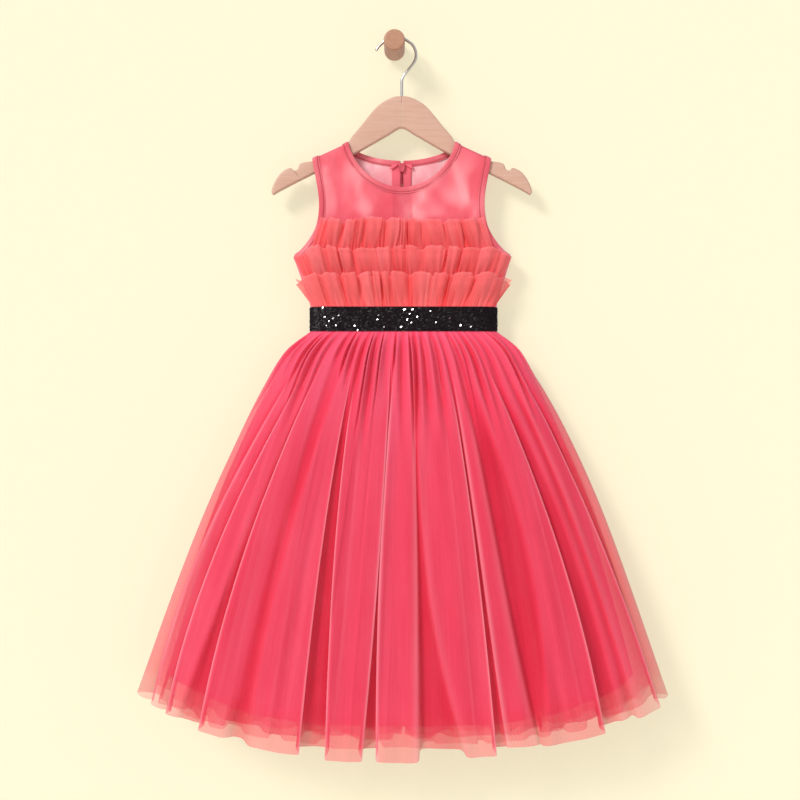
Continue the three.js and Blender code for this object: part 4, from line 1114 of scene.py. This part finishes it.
grooveOut = np.array([[binding["stitchAt"], binding["lift"] + 0.45]])
grooveIn = np.array([[binding["stitchAt"], -1.75]])
neckLines = [neckStrip(grooveOut)[0], neckStrip(grooveIn)[0]]
armLines = [armholeStrip(sign, grooveOut)[0] for sign in (-1, 1)]
addStitches("binding_stitches", neckLines + armLines, sewingThread, "binding")

shoulderAcross = np.linspace(dress["neckHalf"] + 8, dress["shoulderHalf"] - 7, 24)
shoulderLines = []
for sign in (-1, 1):
    for below in (2.6, 4.2):
        z = shoulderLine(shoulderAcross) - below
        shoulderLines.append(bodyPoint(8.8 + sign * shoulderAcross, z, -1, 0.12))
addStitches("shoulder_stitches", shoulderLines[::2], sewingThread, "satin")

hemRow = int(round((1 - underskirt["hemBand"] / 470) * underskirt["rows"]))
underGrid = underskirtGrid()[0][::-1]
hemLines = [underGrid[hemRow] + [0, -0.05, 0]]
# the hem's stitches use the painted lit copy of the thread
addStitches("underskirt_hem_stitches", hemLines, threadPaintedLit, "satin")
print("stitches")

# ---- zip: two tapes whose top ends are turned over, a nylon coil, a slider and its pull tab

zipper = {"bottom": -339.0, "top": -143.0, "tapeFrom": 1.3, "tapeTo": 11.6, "curl": 1.3, "turned": 4.6,
          "coilPitch": 1.5, "sliderTop": -140.5, "pinZ": -147.5}


def tapeGrid(sign):
    # up the inside of the back, round a half turn of 1.3 mm at the top, and down, where the end is drawn
    # in to a corner that points outwards
    up = np.linspace(0, 1, 60)
    turn = np.linspace(0, np.pi, 9)[1:-1]
    down = np.linspace(0, 1, 7)
    rise = np.r_[zipper["bottom"] + up * (zipper["top"] - zipper["bottom"]),
                 zipper["top"] + zipper["curl"] * np.sin(turn), zipper["top"] - down * zipper["turned"]]
    forward = np.r_[0 * up, zipper["curl"] * (1 - np.cos(turn)),
                    2 * zipper["curl"] + 0.5 * np.sin(np.pi * down)]
    spread = np.r_[0.6 * smoothStep(0.93, 1, up), 0.6 + 1.2 * turn / np.pi,
                   1.8 + 0.8 * zipper["turned"] * down]
    narrow = np.r_[1 - 0.12 * smoothStep(0.95, 1, up), 0.88 - 0.2 * turn / np.pi, 0.68 - 0.5 * down]
    across = np.linspace(zipper["tapeFrom"], zipper["tapeTo"], 9)
    if sign > 0:
        across = across[::-1]
    z = rise[:, None] + 0 * across
    inside = curveAt(bodySections, 2, z) - satinWall - 0.9
    wave = 0.35 * np.sin(z / 9 + sign) * (across - 1.3) / 10
    middle = 0.62 * (zipper["tapeFrom"] + zipper["tapeTo"])
    x = curveAt(bodySections, 3, z) + sign * (middle + (across - middle) * narrow[:, None] + spread[:, None])
    y = dress["hangY"] + inside + wave - forward[:, None]
    return np.stack([x, y, z], axis=-1)


for name, sign in (("left", -1), ("right", 1)):
    grid = tapeGrid(sign)
    tape = makeCloth(f"zip_tape_{name}_woven", grid, zipTape, "zip", wall=0.5)
    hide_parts(f"zip_tape_{name}")
    noteSheet(tape)

coilZ = np.arange(zipper["bottom"] + 1, zipper["sliderTop"] - 12, zipper["coilPitch"])
coilCentres = np.stack([curveAt(bodySections, 3, coilZ),
                        dress["hangY"] + curveAt(bodySections, 2, coilZ) - 2.9, coilZ], axis=1)
coilAxes = np.broadcast_to(np.diag([3.2, 1.2, 1.0]), (len(coilZ), 3, 3))
coil = placeCopies("zip_coil_turns", spindle * [1, 1.4, 1.4], spindleFaces, coilCentres, coilAxes,
                   zipCoil, "zip")
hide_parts("zip_coil")


def plateRings(outline, thickness, rounding, dish=0.0):
    # rings of a flat plate with rounded edges: the outline at a share of its size and a height; the
    # middle may be dished by a little
    steps = np.array([(0.3, 0.5 - dish), (0.62, 0.5 - dish), (0.74, 0.5), (1 - rounding, 0.5),
                      (1 - 0.3 * rounding, 0.4), (1, 0.18), (1, -0.18), (1 - 0.3 * rounding, -0.4),
                      (1 - rounding, -0.5), (0.4, -0.5)])
    middle = outline.mean(axis=0)
    flat = middle + (outline - middle) * steps[:, 0, None, None]
    return np.concatenate([flat[..., :1], np.broadcast_to(steps[:, 1, None, None] * thickness,
                                                          flat[..., :1].shape), flat[..., 1:]], axis=2)


# the slider's outline: wide at the top, drawn in to the coil below
sliderShape = evenSteps(np.array([(-2.2, -11), (2.2, -11), (2.9, -9.6), (4, -5), (4, -1.2), (3.0, 0),
                                  (-3.0, 0),
                                  (-4, -1.2), (-4, -5), (-2.9, -9.6), (-2.2, -11)], float), 41)[:-1]
pinX = float(curveAt(bodySections, 3, zipper["pinZ"]))
backFace = dress["hangY"] + float(curveAt(bodySections, 2, zipper["pinZ"]))
slider = makeTube("zip_slider_body", plateRings(sliderShape[::-1], 2.6, 0.22, 0.12)
                  * [1, -1, 1] + [pinX, backFace - 4.4, zipper["sliderTop"]], paintedZinc, "zip")
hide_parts("zip_slider")
bailTurn = np.linspace(0, 2 * np.pi, 40, endpoint=False)
bailPath = np.stack([0 * bailTurn, 3.4 * np.cos(bailTurn), 1.9 * np.sin(bailTurn)], axis=1)
bailPath += [pinX, backFace + 0.4, zipper["pinZ"]]
bail = np.vstack([bailPath, bailPath[:1]])
makeTube("zip_slider_bail", tubeGrid(bail, np.array([1.0, 0, 0]), np.array([0.5, 0.5]), roundProfile(10)),
         paintedZinc, "zip")

tabTurn = np.linspace(np.pi, 0, 13)
tabShape = np.vstack([np.stack([3.0 * np.cos(tabTurn), -15.0 - 3.0 * np.sin(tabTurn)], axis=1),
                      [(1.9, -4.0), (1.7, -0.2), (1.1, 1.0), (-1.1, 1.0), (-1.7, -0.2), (-1.9, -4.0),
                       (-3.0, -15.0)]])
tabShape = evenSteps(tabShape, 57)[:-1]
pinY = backFace + 2.5
tab = makeTube("zip_pull_tab_plate", plateRings(tabShape, 1.2, 0.16, 0.25)
               + [pinX, pinY, zipper["pinZ"]], paintedZinc, "zip", body="pull_tab")
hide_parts("zip_pull_tab")
print("zip")

# ---- hanger: two arms joined at the middle, each a rounded board between its upper and lower edge

hanger = {"centre": 8.8, "thick": 12.0, "rounding": 2.4, "joint": 0.12, "rings": 300}
# upper edge from the middle out, with the strap notch near the end: across, z
hangerUpper = np.array([
    (0, -60.5), (9, -61.6), (17.3, -65.1), (25, -69.6), (31.2, -74.9), (40.4, -85.6), (47.5, -94.6),
    (55.6, -104.2), (60.6, -110.3), (64.6, -116.6), (74, -123.0), (86.8, -129), (108.6, -139.4), (113, -140),
    (119.4, -141.2), (123.4, -143.2), (125.6, -148.6), (128.4, -150.4), (131.4, -150.2), (133.6, -147.4),
    (140.7, -149.8), (146.9, -154.7), (153.1, -163.9), (156.6, -172.5), (157.2, -177.0), (156.0, -179.4),
], float)
hangerLower = np.array([(0, -99.2), (3, -99.6), (6, -101), (16, -107.4), (58, -131.1), (106, -154),
                        (146, -174.4), (153.4, -178.6)], float)


def smoothLine(points, count):
    # a smooth cubic line through points, at even steps of its length
    far = np.r_[0, np.cumsum(np.linalg.norm(np.diff(points, axis=0), axis=1))]
    at = np.linspace(0, far[-1], 12 * count)
    fine = np.stack([curveAt(np.column_stack([far, points[:, k]]), 1, at)
                     for k in range(points.shape[1])], axis=1)
    return evenSteps(fine, count)


def boardProfile(half, thick, radius, corner=6):
    # a rounded rectangle round each ring: corners of one radius, or less where the board is narrow
    turn = np.linspace(0, np.pi / 2, corner)
    radius = np.minimum(radius, 0.92 * half)[:, None]
    pieces = []
    for k in range(4):
        angle = turn + k * np.pi / 2
        signA, signB = (1, -1, -1, 1)[k], (1, 1, -1, -1)[k]
        a = signA * (half[:, None] - radius) + radius * np.cos(angle)
        b = signB * (thick / 2 - radius) + radius * np.sin(angle)
        pieces.append(np.stack([a, b], axis=-1))
    return np.concatenate(pieces, axis=1)


def hangerArm(sign):
    upper, lower = smoothLine(hangerUpper, hanger["rings"]), smoothLine(hangerLower, hanger["rings"])
    middle, half = (upper + lower) / 2, np.linalg.norm(upper - lower, axis=1) / 2
    up = (upper - lower) / (2 * half[:, None])
    section = boardProfile(half, hanger["thick"], hanger["rounding"])
    x = sign * (middle[:, None, 0] + section[..., 0] * up[:, None, 0])
    z = middle[:, None, 1] + section[..., 0] * up[:, None, 1]
    x = hanger["centre"] + x + sign * hanger["joint"]
    y = dress["hangY"] + sign * section[..., 1]
    along = np.linspace(0, 0.21, hanger["rings"])[:, None] + 0 * section[..., 0]
    uv = np.stack([along + 0.5 * (sign > 0), section[..., 0] / 1000 + 0.002 * section[..., 1]], axis=-1)
    uv = np.vstack([uv.reshape(-1, 2), uv[0].mean(axis=0), uv[-1].mean(axis=0)])
    return np.stack([x, y, z], axis=-1), uv


for name, sign in (("left", -1), ("right", 1)):
    rings, uv = hangerArm(sign)
    arm = makeTube(f"hanger_arm_{name}", rings, hangerBeech, "hanger_wood", uv=uv)
    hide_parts("hanger_wood")

# ---- hook: a round wire over the peg, a wide bend and a straight shank into the wood

hook = {"wire": 3.4, "pegRadius": 12.5, "gap": 0.3, "bend": 19.0, "bendX": 7.1, "bendZ": -9.9}
over = np.radians(np.linspace(158, 62, 9))
bend = np.radians(np.linspace(46, -38, 8))
pegBend = hook["pegRadius"] + hook["gap"] + hook["wire"] / 2
hookPoints = np.vstack([
    [(-22.5, -5.4), (-19.4, -0.2)],
    np.stack([pegBend * np.cos(over), pegBend * np.sin(over)], axis=1),
    np.stack([hook["bendX"] + hook["bend"] * np.cos(bend),
              hook["bendZ"] + hook["bend"] * np.sin(bend)], axis=1),
    [(14.6, -31), (11, -35.4), (9.1, -40), (8.8, -45), (8.8, -56), (8.8, -68)],
])
line = smoothLine(hookPoints, 240)
path = np.stack([line[:, 0], np.full(240, dress["hangY"]), line[:, 1]], axis=1)
fromTip = np.linalg.norm(np.diff(path, axis=0), axis=1).cumsum()
fromTip = np.r_[0.02, fromTip]
wireSize = hook["wire"] / 2 * np.sqrt(1 - (1 - np.minimum(fromTip / (hook["wire"] / 2), 1)) ** 2)
wire = tubeGrid(path, np.array([0.0, 1.0, 0.0]), np.stack([wireSize, wireSize], axis=1), roundProfile(20))
hookPiece = makeTube("hook_wire", wire, nickelWire, "hook_steel")
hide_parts("hanger_hook")

# ---- peg: a turned dowel whose front edge is eased; radius and way out from the wall

pegProfile = smoothLine(np.array([(12.1, 0), (12.5, 0.6), (12.5, 20), (12.5, 40), (12.5, 57.8), (12.3, 59.0),
                                  (11.7, 59.7), (10.6, 60.0), (6, 60.15), (0.6, 60.2)], float), 90)
pegTurn = np.linspace(0, 2 * np.pi, 64, endpoint=False)
pegRings = np.stack([pegProfile[:, :1] * np.cos(pegTurn), -pegProfile[:, 1:] + 0 * pegTurn,
                     pegProfile[:, :1] * np.sin(pegTurn)], axis=-1)
pegPiece = makeTube("peg_dowel", pegRings, pegBeech, "peg_wood")
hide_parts("wall_peg")
print("hanger, hook and peg")
